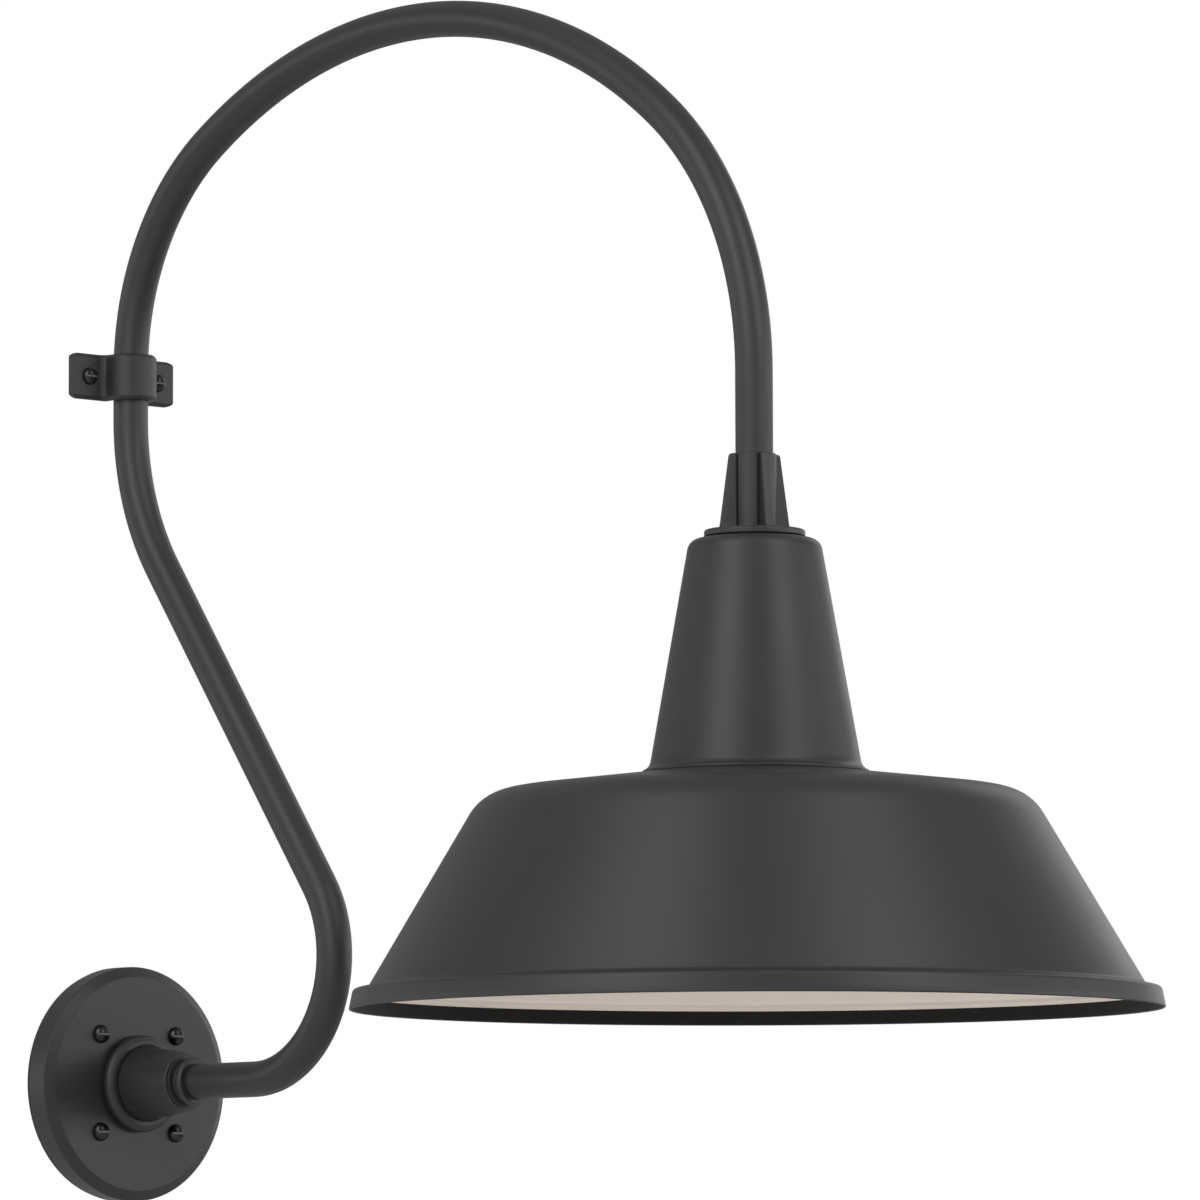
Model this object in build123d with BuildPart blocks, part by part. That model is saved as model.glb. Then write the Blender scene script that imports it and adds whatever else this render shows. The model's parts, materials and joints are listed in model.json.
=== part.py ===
from build123d import *
from math import acos, atan2, cos, degrees, hypot, radians, sin, sqrt, tan
import os

# Barn light: a bent tube on a round wall plate carries a spun shade with its lampholder and bulb.
# Millimetres. The wall is the plane X = 0, the light stands out along +X, +Z is up.
# The origin is the middle of the four plate screws, on the wall.

# Fits
thread_gap = 0.05
touch_gap = 0.1
swivel_gap = 0.08
hole_gap = 0.3
seat_gap = 0.3

# Wall plate and its gasket
plate_r = 63.5
plate_wall = 4.0
plate_side = 12.0
plate_bevel_radial = 5.4
plate_bevel_axial = 3.1
plate_face_thickness = 3.0
plate_edge_round = 0.8
gasket_thickness = 3.0
gasket_inset = 1.0
gasket_lap = 2.5

# Plate screws, on a circle
plate_screw_pcd = 74.6
plate_screw_r = 2.4
plate_thread_r = 2.1
plate_screw_reach = 30.0
plate_head_r = 5.0
plate_head_height = 4.7

# Slots, edges and points shared by the round-head screws
slot_width = 1.4
slot_depth = 1.9
head_edge = 0.7
screw_point = 5.0

# Arm: one tube, bent in the plane Y = 0
tube_r = 9.5
tube_wall = 1.6
tube_wall_gap = 0.5
lower_run = 115.0
lower_bend_r = 64.0
lower_bend_turn = 126.0
reverse_bend_r = 143.5
strap_run = 27.0
wall_arch_r = 137.5
wall_arch_turn = 58.0
crown_r = 306.5
crown_turn = 71.5
drop_arch_r = 180.0
drop_run = 42.5

# Cable in the tube and its cores behind the plate
cable_r = 3.2
core_r = 1.0
core_circle = 1.5
core_start = 20.0
core_turn_x = 4.6
core_bend = 4.0
core_lead_bend = 5.0

# Hub, a turned socket for the tube
hub_length = 41.5
hub_ring_stand = 6.3
hub_ring_section = 4.2
hub_ring_lift = 3.2
hub_taper = 4.0
hub_nose_wall = 6.4
hub_nose_round = 1.5
hub_tube_depth = 35.0
hub_wire_gap = 2.8
hub_spigot_wall = 4.0
hub_spigot_tail = 0.9
hub_washer_width = 6.0
hub_washer_thickness = 1.2
hub_nut_wall = 3.5
hub_nut_height = 5.0
hub_screw_r = 2.5
hub_screw_sink = 1.0
hub_screw_back = 16.0
ferrule_length = 8.4
ferrule_wall = 4.9
ferrule_groove = 2.2
ferrule_bead = 4.6
ferrule_bead_rise = 1.1

# Strap that holds the tube to the wall
strap_height = 25.0
strap_width = 71.5
strap_thickness = 4.0
strap_saddle_wall = 4.3
strap_saddle_gap = 0.3
strap_lift = 8.4
strap_screw_spacing = 48.5
strap_screw_r = 2.4
strap_thread_r = 2.1
strap_screw_reach = 11.5
strap_head_r = 4.7
strap_head_height = 4.4
strap_corner = 3.0
strap_bevel = 1.6
strap_fillet = 3.0

# Terminal block behind the plate, with two poles
block_width = 30.0
block_height = 14.0
block_depth = 9.5
block_drop = 30.0
block_round = 1.0
pole_spacing = 15.0
entry_gap = 0.5
entry_depth = 6.0
terminal_screw_r = 1.9
terminal_screw_spacing = 7.0
terminal_screw_sink = 0.4
block_screw_r = 1.5
block_head_r = 2.8
block_head_height = 2.0
inner_screw_bite = 2.0

# Earth screw and its lug
earth_height = 36.0
earth_screw_r = 2.0
earth_head_r = 4.0
earth_head_height = 2.6
lug_width = 2.6
lug_thickness = 0.8
barrel_wall = 0.85
barrel_length = 7.0

# Finned collar
fin_height = 38.2
fin_count = 4
fin_start = -20.0
fin_thickness = 4.4
fin_top_stand = 2.2
fin_foot_stand = 7.6
fin_corner = 1.4
sleeve_wall = 1.6
tube_seat = 26.5
flange_lip = 6.7
flange_thickness = 3.4
flange_round = 1.2
collar_screw_r = 1.5
collar_screw_drop = 17.0
collar_screw_sink = 0.6
neck_gasket_inset = 2.0
neck_gasket_thickness = 1.0

# Shade: a spun neck on a spun dome
sheet = 1.2
neck_top_r = 32.9
neck_round = 6.5
neck_half_angle = 10.0
neck_fall = 111.5
foot_r = 6.4
foot_turn = 60.0
dome_lap = 6.5
dome_slope = 6.7
shoulder_round = 25.5
skirt_half_angle = 30.5
skirt_height = 96.3
ledge_width = 7.7
ledge_fall = 1.55
band_flare = 2.0
band_height = 9.95
rim_r = 203.2
ledge_root_round = 2.6
ledge_edge_round = 2.2

# Threaded nipple that clamps the shade to the collar
cable_gap = 0.8
nipple_wall = 2.4
nipple_grip = 9.0
nipple_tail = 6.0
neck_washer_width = 13.6
neck_washer_thickness = 2.0
nipple_nut_wall = 3.1
nipple_nut_height = 5.0

# Bulb
bulb_cap_r = 13.1
bulb_cap_wall = 0.5
bulb_cap_length = 22.5
bulb_play = 0.8
thread_pitch = 3.63
thread_depth = 0.6
thread_turns = 5
insulator_height = 4.0
insulator_ledge = 1.7
tip_r = 4.8
tip_height = 2.4
tip_round = 1.0
glass_r = 30.0
glass_wall = 0.8
glass_length = 84.0
glass_neck_flare = 2.5
glass_neck_length = 7.0
glass_neck_round = 20.0
glass_tuck = 12.0
stem_r = 3.0
stem_length = 90.0
stem_flare_height = 2.0
filament_count = 4
filament_r = 0.9
filament_stand = 5.5
filament_length = 34.0
filament_arm_r = 0.4

# Lampholder
holder_clear = 2.0
cap_height = 21.0
cap_wall = 1.2
cap_roof = 2.0
cap_step = 0.5
boss_wall = 3.0
body_wall = 6.0
body_length = 39.0
body_tongue = 6.0
body_roof = 9.0
body_round = 2.0
shell_wall = 0.9
shell_mouth = 3.0
contact_r = 4.5
contact_thickness = 1.0
contact_drop = 2.5
contact_clear = 2.0
rivet_r = 1.8
rivet_head_r = 3.0
rivet_head_height = 0.8
lead_r = 0.8
lead_spread = 1.6
lead_bend = 1.5

# Places along X, from the wall outwards
plate_back_x = gasket_thickness
plate_edge_x = plate_back_x + plate_side
plate_face_x = plate_edge_x + plate_bevel_axial
plate_inside_x = plate_face_x - plate_face_thickness
plate_hollow_r = plate_r - plate_wall
hub_nose_x = plate_face_x + hub_length
hub_seat_x = hub_nose_x - hub_tube_depth
hub_washer_x = plate_inside_x - hub_washer_thickness
hub_nut_x = hub_washer_x - hub_nut_height
hub_tail_x = hub_nut_x - hub_spigot_tail
tube_start_x = hub_seat_x + seat_gap
strap_x = tube_r + tube_wall_gap


def facing_out(x, y=0.0, z=0.0):
    """Plane that looks out from the wall: its first axis is Y and its second is Z."""
    return Plane(origin=(x, y, z), x_dir=(0, 1, 0), z_dir=(1, 0, 0))


def forward(point, heading, length):
    """Point of an upright plane reached from another by a straight run at a heading."""
    return (point[0] + length * cos(radians(heading)), point[1] + length * sin(radians(heading)))


def bend(point, heading, radius, turn):
    """Middle and end of a bend that starts at a point; a positive turn goes from +X towards +Z."""
    side = 1 if turn > 0 else -1
    centre = forward(point, heading + 90 * side, radius)
    middle = forward(centre, heading - 90 * side + turn / 2, radius)
    end = forward(centre, heading - 90 * side + turn, radius)
    return middle, end


def in_arm_plane(point):
    """A point of the arm's plane in space."""
    return (point[0], 0, point[1])


# The arm's bends, from the hub to the shade
upright = 90.0
lean = lower_bend_turn - upright
run_end = (lower_run, 0.0)
lower_middle, lower_end = bend(run_end, 0.0, lower_bend_r, lower_bend_turn)
reverse_side = reverse_bend_r * (1 - cos(radians(lean)))
diagonal = (lower_end[0] - reverse_side - strap_x) / sin(radians(lean))
diagonal_end = forward(lower_end, lower_bend_turn, diagonal)
reverse_middle, strap_foot = bend(diagonal_end, lower_bend_turn, reverse_bend_r, -lean)
strap_top = forward(strap_foot, upright, strap_run)
strap_z = (strap_foot[1] + strap_top[1]) / 2 + strap_lift
arch_middle, arch_end = bend(strap_top, upright, wall_arch_r, -wall_arch_turn)
crown_heading = upright - wall_arch_turn
crown_middle, crown_end = bend(arch_end, crown_heading, crown_r, -crown_turn)
drop_heading = crown_heading - crown_turn
drop_middle, drop_end = bend(crown_end, drop_heading, drop_arch_r, -(drop_heading + upright))

# Radii of the nipple and the lampholder, from the cable and the bulb that they take
nipple_bore_r = cable_r + cable_gap
nipple_r = nipple_bore_r + nipple_wall
thread_root_r = bulb_cap_r - thread_depth
shell_r = bulb_cap_r + bulb_play + shell_wall
body_bore_r = shell_r + touch_gap
body_r = body_bore_r + body_wall
cap_r = body_r - cap_step
tongue_r = cap_r - cap_wall - thread_gap

# Places along the shade's upright axis, from the tube's end downwards
shade_x = drop_end[0]
collar_top_z = drop_end[1] - drop_run
flange_top_z = collar_top_z - fin_height
flange_z = flange_top_z - flange_thickness
tube_end_z = collar_top_z - tube_seat
neck_top_z = flange_z - neck_gasket_thickness
neck_inside_z = neck_top_z - sheet
neck_washer_z = neck_inside_z - neck_washer_thickness
nipple_nut_z = neck_washer_z - nipple_nut_height
cap_top_z = nipple_nut_z - holder_clear
cap_z = cap_top_z - cap_height
nipple_top_z = flange_z + nipple_grip
nipple_z = cap_top_z - nipple_tail
body_top_z = cap_z + body_tongue
body_z = cap_z - body_length
bore_roof_z = cap_z - body_roof
shell_roof_z = bore_roof_z - shell_wall
contact_top_z = bore_roof_z - contact_drop
contact_z = contact_top_z - contact_thickness
rivet_top_z = body_top_z + rivet_head_height
tip_top_z = contact_z - touch_gap
insulator_top_z = tip_top_z - tip_height
bulb_cap_top_z = insulator_top_z - insulator_height
bulb_cap_z = bulb_cap_top_z - bulb_cap_length
glass_z = bulb_cap_z - glass_length
shade_axis = Axis((shade_x, 0, 0), (0, 0, 1))
shade_section = Plane(origin=(shade_x, 0, 0), x_dir=(1, 0, 0), z_dir=(0, -1, 0))


def level(z):
    """Level plane at a height, centred on the shade's axis."""
    return Plane(origin=(shade_x, 0, z), x_dir=(1, 0, 0), z_dir=(0, 0, 1))


def upright_plane(z, angle):
    """Upright plane through the shade's axis: its first axis points out at an angle, its second is up."""
    out = (cos(radians(angle)), sin(radians(angle)), 0)
    across = (sin(radians(angle)), -cos(radians(angle)), 0)
    return Plane(origin=(shade_x, 0, z), x_dir=out, z_dir=across)


def slotted_screw(head_r, head_height, shank_r, shank, thread_r, reach):
    """Round-head screw: its seat at height 0, shank and pointed thread downwards, slot along X."""
    dome = head_height - head_edge
    dome_r = (head_r**2 + dome**2) / (2 * dome)
    half = atan2(head_r, dome_r - dome) / 2
    middle = (dome_r * sin(half), head_height - dome_r + dome_r * cos(half))
    edge = (head_r, head_edge)
    tip = -shank - reach
    with BuildPart() as screw:
        with BuildSketch(Plane.XZ):
            with BuildLine():
                Polyline(
                    (0, head_height),
                    (0, tip),
                    (thread_r, tip + screw_point),
                    (thread_r, -shank),
                    (shank_r, -shank),
                    (shank_r, 0),
                    (head_r, 0),
                    edge,
                )
                ThreePointArc(edge, middle, (0, head_height))
            make_face()
        revolve(axis=Axis.Z)
        with Locations((0, 0, head_height)):
            Box(4 * head_r, slot_width, 2 * slot_depth, mode=Mode.SUBTRACT)
    return screw.part


def grub_screw(radius, length):
    """Headless screw from height 0 upwards, with a hexagon socket in its outer end."""
    with BuildPart() as screw:
        with BuildSketch():
            Circle(radius)
        extrude(amount=length)
        with BuildSketch(Plane.XY.offset(length)):
            RegularPolygon(radius / 2, 6, major_radius=False)
        extrude(amount=-length / 3, mode=Mode.SUBTRACT)
    return screw.part


os.makedirs("parts", exist_ok=True)

# Foam ring between the plate and the wall
with BuildPart() as wall_gasket:
    with BuildSketch(facing_out(0)):
        Circle(plate_r - gasket_inset)
        Circle(plate_hollow_r - gasket_lap, mode=Mode.SUBTRACT)
    extrude(amount=gasket_thickness)
wall_gasket.part.label = "wall_gasket"
export_step(wall_gasket.part, "parts/wall_gasket.step")

# Cast plate, hollow behind, with a bevelled edge
hub_wire_r = cable_r + hub_wire_gap
hub_spigot_r = hub_wire_r + hub_spigot_wall
plate_screw_side = plate_screw_pcd / sqrt(2)
with BuildPart() as wall_plate:
    with BuildSketch(Plane.XZ):
        with BuildLine():
            Polyline(
                (plate_back_x, plate_hollow_r),
                (plate_back_x, plate_r),
                (plate_edge_x, plate_r),
                (plate_face_x, plate_r - plate_bevel_radial),
                (plate_face_x, hub_spigot_r + hole_gap),
                (plate_inside_x, hub_spigot_r + hole_gap),
                (plate_inside_x, plate_hollow_r),
                close=True,
            )
        make_face()
    revolve(axis=Axis.X)
    rim_edges = wall_plate.edges().filter_by(GeomType.CIRCLE).sort_by(SortBy.RADIUS)[-2:]
    fillet(rim_edges.sort_by(Axis.X)[-1], plate_edge_round)
    with BuildSketch(facing_out(plate_inside_x)):
        with GridLocations(plate_screw_side, plate_screw_side, 2, 2):
            Circle(plate_screw_r + hole_gap)
    extrude(amount=plate_face_thickness, mode=Mode.SUBTRACT)
    with BuildSketch(facing_out(plate_inside_x)):
        with Locations((0, -block_drop)):
            Circle(block_screw_r + thread_gap)
        with Locations((0, earth_height)):
            Circle(earth_screw_r + thread_gap)
    extrude(amount=inner_screw_bite, mode=Mode.SUBTRACT)
wall_plate.part.label = "wall_plate"
export_step(wall_plate.part, "parts/wall_plate.step")

# Four screws through the plate into the wall
plate_screw = slotted_screw(
    plate_head_r, plate_head_height, plate_screw_r, plate_face_x, plate_thread_r, plate_screw_reach
)
with BuildPart(facing_out(plate_face_x)) as plate_screws:
    with GridLocations(plate_screw_side, plate_screw_side, 2, 2):
        add(plate_screw)
plate_screws.part.label = "plate_screws"
export_step(plate_screws.part, "parts/plate_screws.step")

# Hub: base ring, tapering body, bore for the tube and a threaded spigot through the plate
hub_nose_r = tube_r + hub_nose_wall
hub_body_r = hub_nose_r + hub_taper
ring_mid_r = hub_body_r + hub_ring_stand - hub_ring_section
ring_x = plate_face_x + hub_ring_lift
ring_foot_r = ring_mid_r + sqrt(hub_ring_section**2 - hub_ring_lift**2)
ring_top_x = ring_x + sqrt(hub_ring_section**2 - (ring_mid_r - hub_body_r) ** 2)
ring_side = hub_ring_section * sqrt(0.5)
ring_foot = (plate_face_x, ring_foot_r)
ring_top = (ring_top_x, hub_body_r)
hub_screw_x = hub_nose_x - hub_screw_back
hub_skin_r = hub_nose_r + hub_taper * hub_screw_back / (hub_nose_x - ring_top_x)
with BuildPart() as hub:
    with BuildSketch(Plane.XZ):
        with BuildLine():
            Polyline(
                ring_top,
                (hub_nose_x, hub_nose_r),
                (hub_nose_x, tube_r + thread_gap),
                (hub_seat_x, tube_r + thread_gap),
                (hub_seat_x, hub_wire_r),
                (hub_tail_x, hub_wire_r),
                (hub_tail_x, hub_spigot_r),
                (plate_face_x, hub_spigot_r),
                ring_foot,
            )
            ThreePointArc(ring_foot, (ring_x + ring_side, ring_mid_r + ring_side), ring_top)
        make_face()
    revolve(axis=Axis.X)
    nose_edges = hub.edges().filter_by(GeomType.CIRCLE).group_by(Axis.X)[-1]
    fillet(nose_edges.sort_by(SortBy.RADIUS)[-1], hub_nose_round)
    with BuildSketch(Plane.XY.offset(-tube_r)):
        with Locations((hub_screw_x, 0)):
            Circle(hub_screw_r + thread_gap)
    extrude(amount=-hub_body_r, mode=Mode.SUBTRACT)
hub.part.label = "hub"
export_step(hub.part, "parts/hub.step")

# Grub screw under the hub, against the tube
hub_screw_plane = Plane(origin=(hub_screw_x, 0, -tube_r - touch_gap), x_dir=(1, 0, 0), z_dir=(0, 0, -1))
hub_grub = grub_screw(hub_screw_r, hub_skin_r - tube_r - touch_gap - hub_screw_sink)
with BuildPart(hub_screw_plane) as hub_set_screw:
    add(hub_grub)
hub_set_screw.part.label = "hub_set_screw"
export_step(hub_set_screw.part, "parts/hub_set_screw.step")

# Stepped ring that closes the hub round the tube
ferrule_r = tube_r + ferrule_wall
ferrule_waist_r = ferrule_r - ferrule_groove
ferrule_end_x = hub_nose_x + ferrule_length
bead_x = ferrule_end_x - ferrule_bead
bead_start = (bead_x, ferrule_waist_r)
bead_end = (ferrule_end_x, ferrule_waist_r)
bead_crest = (bead_x + ferrule_bead / 2, ferrule_waist_r + ferrule_bead_rise)
with BuildPart() as hub_ferrule:
    with BuildSketch(Plane.XZ):
        with BuildLine():
            ThreePointArc(bead_start, bead_crest, bead_end)
            Polyline(
                bead_end,
                (ferrule_end_x, tube_r + touch_gap),
                (hub_nose_x, tube_r + touch_gap),
                (hub_nose_x, ferrule_r),
                bead_start,
            )
        make_face()
    revolve(axis=Axis.X)
hub_ferrule.part.label = "hub_ferrule"
export_step(hub_ferrule.part, "parts/hub_ferrule.step")

# Washer and locknut on the hub's spigot, inside the plate
with BuildPart() as hub_washer:
    with BuildSketch(facing_out(hub_washer_x)):
        Circle(hub_spigot_r + hub_washer_width)
        Circle(hub_spigot_r + thread_gap, mode=Mode.SUBTRACT)
    extrude(amount=hub_washer_thickness)
hub_washer.part.label = "hub_washer"
export_step(hub_washer.part, "parts/hub_washer.step")

with BuildPart() as hub_locknut:
    with BuildSketch(facing_out(hub_nut_x)):
        RegularPolygon(hub_spigot_r + hub_nut_wall, 6, major_radius=False)
        Circle(hub_spigot_r + thread_gap, mode=Mode.SUBTRACT)
    extrude(amount=hub_nut_height)
hub_locknut.part.label = "hub_locknut"
export_step(hub_locknut.part, "parts/hub_locknut.step")


def arm_line(start_x, end_z):
    """The arm's centreline, from a place in the hub to a height under the collar's top."""
    Line((start_x, 0, 0), in_arm_plane(run_end))
    ThreePointArc(in_arm_plane(run_end), in_arm_plane(lower_middle), in_arm_plane(lower_end))
    Line(in_arm_plane(lower_end), in_arm_plane(diagonal_end))
    ThreePointArc(in_arm_plane(diagonal_end), in_arm_plane(reverse_middle), in_arm_plane(strap_foot))
    Line(in_arm_plane(strap_foot), in_arm_plane(strap_top))
    ThreePointArc(in_arm_plane(strap_top), in_arm_plane(arch_middle), in_arm_plane(arch_end))
    ThreePointArc(in_arm_plane(arch_end), in_arm_plane(crown_middle), in_arm_plane(crown_end))
    ThreePointArc(in_arm_plane(crown_end), in_arm_plane(drop_middle), in_arm_plane(drop_end))
    Line(in_arm_plane(drop_end), (shade_x, 0, end_z))


# Bent tube
with BuildPart() as arm_tube:
    with BuildLine() as tube_line:
        arm_line(tube_start_x, tube_end_z)
    with BuildSketch(facing_out(tube_start_x)):
        Circle(tube_r)
        Circle(tube_r - tube_wall, mode=Mode.SUBTRACT)
    sweep(path=tube_line.wires()[0])
arm_tube.part.label = "arm_tube"
export_step(arm_tube.part, "parts/arm_tube.step")

# Cable inside the tube
with BuildPart() as arm_cable:
    with BuildLine() as cable_line:
        arm_line(core_start, tube_end_z)
    with BuildSketch(facing_out(core_start)):
        Circle(cable_r)
    sweep(path=cable_line.wires()[0])
arm_cable.part.label = "arm_cable"
export_step(arm_cable.part, "parts/arm_cable.step")

# Saddle strap: two flanges on the wall and a round saddle over the tube
saddle_r = tube_r + strap_saddle_gap
saddle_skin_r = saddle_r + strap_saddle_wall
with BuildPart() as wall_strap:
    with BuildSketch(Plane.XY.offset(strap_z - strap_height / 2)) as strap_section:
        with Locations((strap_thickness / 2, 0)):
            Rectangle(strap_thickness, strap_width)
        with Locations((strap_x, 0)):
            Circle(saddle_skin_r)
        with Locations((strap_x / 2, 0)):
            Rectangle(strap_x, 2 * saddle_skin_r)
        with Locations((-saddle_skin_r, 0)):
            Rectangle(2 * saddle_skin_r, 2 * saddle_skin_r, mode=Mode.SUBTRACT)
        flange_corners = strap_section.vertices().filter_by_position(
            Axis.X, strap_thickness - touch_gap, strap_thickness + touch_gap
        )
        fillet(flange_corners.filter_by_position(Axis.Y, -saddle_skin_r, saddle_skin_r), strap_fillet)
    extrude(amount=strap_height)
    end_faces = wall_strap.faces().filter_by(Axis.Y).group_by(SortBy.DISTANCE)[-1]
    fillet(end_faces.edges().filter_by(Axis.X), strap_corner)
    front_edges = wall_strap.edges().filter_by(lambda edge: edge.bounding_box().min.X > touch_gap)
    chamfer(front_edges.filter_by(Axis.Z, reverse=True), strap_bevel)
    with BuildSketch(Plane.XY.offset(strap_z - strap_height / 2)):
        with Locations((strap_x, 0)):
            Circle(saddle_r)
        with Locations((strap_x / 2, 0)):
            Rectangle(strap_x, 2 * saddle_r)
    extrude(amount=strap_height, mode=Mode.SUBTRACT)
    with BuildSketch(facing_out(0, 0, strap_z)):
        with GridLocations(strap_screw_spacing, 0, 2, 1):
            Circle(strap_screw_r + hole_gap)
    extrude(amount=strap_thickness, mode=Mode.SUBTRACT)
wall_strap.part.label = "wall_strap"
export_step(wall_strap.part, "parts/wall_strap.step")

# Two screws through the strap into the wall
strap_screw = slotted_screw(
    strap_head_r, strap_head_height, strap_screw_r, strap_thickness, strap_thread_r, strap_screw_reach
)
with BuildPart(facing_out(strap_thickness, 0, strap_z)) as strap_screws:
    with GridLocations(strap_screw_spacing, 0, 2, 1):
        add(strap_screw)
strap_screws.part.label = "strap_screws"
export_step(strap_screws.part, "parts/strap_screws.step")

# Terminal block on the plate's inner face
block_x = plate_inside_x - block_depth
entry_x = block_x + block_depth / 2
with BuildPart() as terminal_block:
    with BuildSketch(facing_out(block_x, 0, -block_drop)):
        Rectangle(block_width, block_height)
    extrude(amount=block_depth)
    fillet(terminal_block.edges().filter_by(Axis.X), block_round)
    with BuildSketch(facing_out(block_x, 0, -block_drop)):
        with GridLocations(pole_spacing, terminal_screw_spacing, 2, 2):
            Circle(terminal_screw_r + thread_gap)
    extrude(amount=block_depth / 2, mode=Mode.SUBTRACT)
    with BuildSketch(facing_out(block_x, 0, -block_drop)):
        Circle(block_screw_r + hole_gap)
    extrude(amount=block_depth, mode=Mode.SUBTRACT)
    with BuildSketch(facing_out(block_x, 0, -block_drop)):
        Circle(block_head_r + hole_gap)
    extrude(amount=block_head_height + terminal_screw_sink, mode=Mode.SUBTRACT)
    with BuildSketch(Plane.XY.offset(block_height / 2 - block_drop)):
        with Locations((entry_x, 0)):
            with GridLocations(0, pole_spacing, 1, 2):
                Circle(core_r + entry_gap)
    extrude(amount=-block_height, mode=Mode.SUBTRACT)
terminal_block.part.label = "terminal_block"
export_step(terminal_block.part, "parts/terminal_block.step")

# Four terminal screws, each over its wire entry
terminal_x = block_x + terminal_screw_sink
terminal_length = entry_x - core_r - touch_gap - terminal_x
with BuildPart() as terminal_screws:
    with BuildSketch(facing_out(terminal_x, 0, -block_drop)):
        with GridLocations(pole_spacing, terminal_screw_spacing, 2, 2):
            Circle(terminal_screw_r)
    extrude(amount=terminal_length)
    with BuildSketch(facing_out(terminal_x, 0, -block_drop)):
        with GridLocations(pole_spacing, terminal_screw_spacing, 2, 2):
            Rectangle(3 * terminal_screw_r, terminal_screw_r / 2)
    extrude(amount=terminal_length / 3, mode=Mode.SUBTRACT)
terminal_screws.part.label = "terminal_screws"
export_step(terminal_screws.part, "parts/terminal_screws.step")

# Screw that holds the block to the plate
with BuildPart() as block_screw:
    with BuildSketch(facing_out(terminal_x, 0, -block_drop)):
        Circle(block_head_r)
    extrude(amount=block_head_height)
    with BuildSketch(facing_out(terminal_x, 0, -block_drop)):
        Circle(block_screw_r)
    extrude(amount=plate_inside_x + inner_screw_bite - terminal_x)
    with BuildSketch(facing_out(terminal_x, 0, -block_drop)):
        Rectangle(3 * block_head_r, block_head_r / 4)
    extrude(amount=block_head_height / 2, mode=Mode.SUBTRACT)
block_screw.part.label = "block_screw"
export_step(block_screw.part, "parts/block_screw.step")

# Earth screw in the plate, over the lug
lug_x = plate_inside_x - lug_thickness
earth_head_x = lug_x - earth_head_height
with BuildPart() as ground_screw:
    with BuildSketch(facing_out(earth_head_x, 0, earth_height)):
        RegularPolygon(earth_head_r, 6)
    extrude(amount=earth_head_height)
    with BuildSketch(facing_out(lug_x, 0, earth_height)):
        Circle(earth_screw_r)
    extrude(amount=lug_thickness + inner_screw_bite)
    with BuildSketch(facing_out(earth_head_x, 0, earth_height)):
        Rectangle(3 * earth_head_r, earth_head_r / 4)
    extrude(amount=earth_head_height / 2, mode=Mode.SUBTRACT)
ground_screw.part.label = "ground_screw"
export_step(ground_screw.part, "parts/ground_screw.step")

# Lug: a ring under the screw and a barrel for the wire
barrel_bore_r = core_r + thread_gap
barrel_r = barrel_bore_r + barrel_wall
barrel_x = plate_inside_x - barrel_r
barrel_top_z = earth_height - earth_head_r - touch_gap
barrel_z = barrel_top_z - barrel_length
with BuildPart() as ground_lug:
    with BuildSketch(facing_out(lug_x, 0, earth_height)):
        Circle(earth_screw_r + lug_width)
        Circle(earth_screw_r + hole_gap, mode=Mode.SUBTRACT)
    extrude(amount=lug_thickness)
    with BuildSketch(Plane(origin=(barrel_x, 0, barrel_z))):
        Circle(barrel_r)
    extrude(amount=barrel_length)
    with BuildSketch(Plane(origin=(barrel_x, 0, barrel_z))):
        Circle(barrel_bore_r)
    extrude(amount=barrel_length, mode=Mode.SUBTRACT)
ground_lug.part.label = "ground_lug"
export_step(ground_lug.part, "parts/ground_lug.step")

# Cores from the cable's end to the terminal block
live_angle = 210.0
neutral_angle = 330.0
ground_angle = 90.0
entry_z = block_height / 2 - block_drop
lead_z = entry_z + core_lead_bend / 2
side_z = lead_z + core_lead_bend
core_bends = [core_bend, core_lead_bend, core_bend]


def core_place(angle):
    """Place of a core in the cable's section, as Y and Z."""
    return (core_circle * cos(radians(angle)), core_circle * sin(radians(angle)))


def block_core_points(angle, pole_y):
    """Route of a core: out of the hub, down behind the plate and into its terminal."""
    return [
        (core_start, *core_place(angle)),
        (core_turn_x, *core_place(angle)),
        (core_turn_x, pole_y, side_z),
        (entry_x, pole_y, lead_z),
        (entry_x, pole_y, entry_z - entry_depth),
    ]


with BuildPart() as live_wire:
    with BuildLine() as live_line:
        FilletPolyline(*block_core_points(live_angle, -pole_spacing / 2), radius=core_bends)
    with BuildSketch(facing_out(core_start, *core_place(live_angle))):
        Circle(core_r)
    sweep(path=live_line.wires()[0])
live_wire.part.label = "live_wire"
export_step(live_wire.part, "parts/live_wire.step")

with BuildPart() as neutral_wire:
    with BuildLine() as neutral_line:
        FilletPolyline(*block_core_points(neutral_angle, pole_spacing / 2), radius=core_bends)
    with BuildSketch(facing_out(core_start, *core_place(neutral_angle))):
        Circle(core_r)
    sweep(path=neutral_line.wires()[0])
neutral_wire.part.label = "neutral_wire"
export_step(neutral_wire.part, "parts/neutral_wire.step")

# Earth core from the cable's end to the lug
ground_side_z = barrel_z - 2 * core_lead_bend
with BuildPart() as ground_wire:
    with BuildLine() as ground_line:
        FilletPolyline(
            (core_start, *core_place(ground_angle)),
            (core_turn_x, *core_place(ground_angle)),
            (core_turn_x, 0, ground_side_z),
            (barrel_x, 0, barrel_z - core_bend / 2),
            (barrel_x, 0, barrel_top_z - core_r),
            radius=core_bends,
        )
    with BuildSketch(facing_out(core_start, *core_place(ground_angle))):
        Circle(core_r)
    sweep(path=ground_line.wires()[0])
ground_wire.part.label = "ground_wire"
export_step(ground_wire.part, "parts/ground_wire.step")

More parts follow.
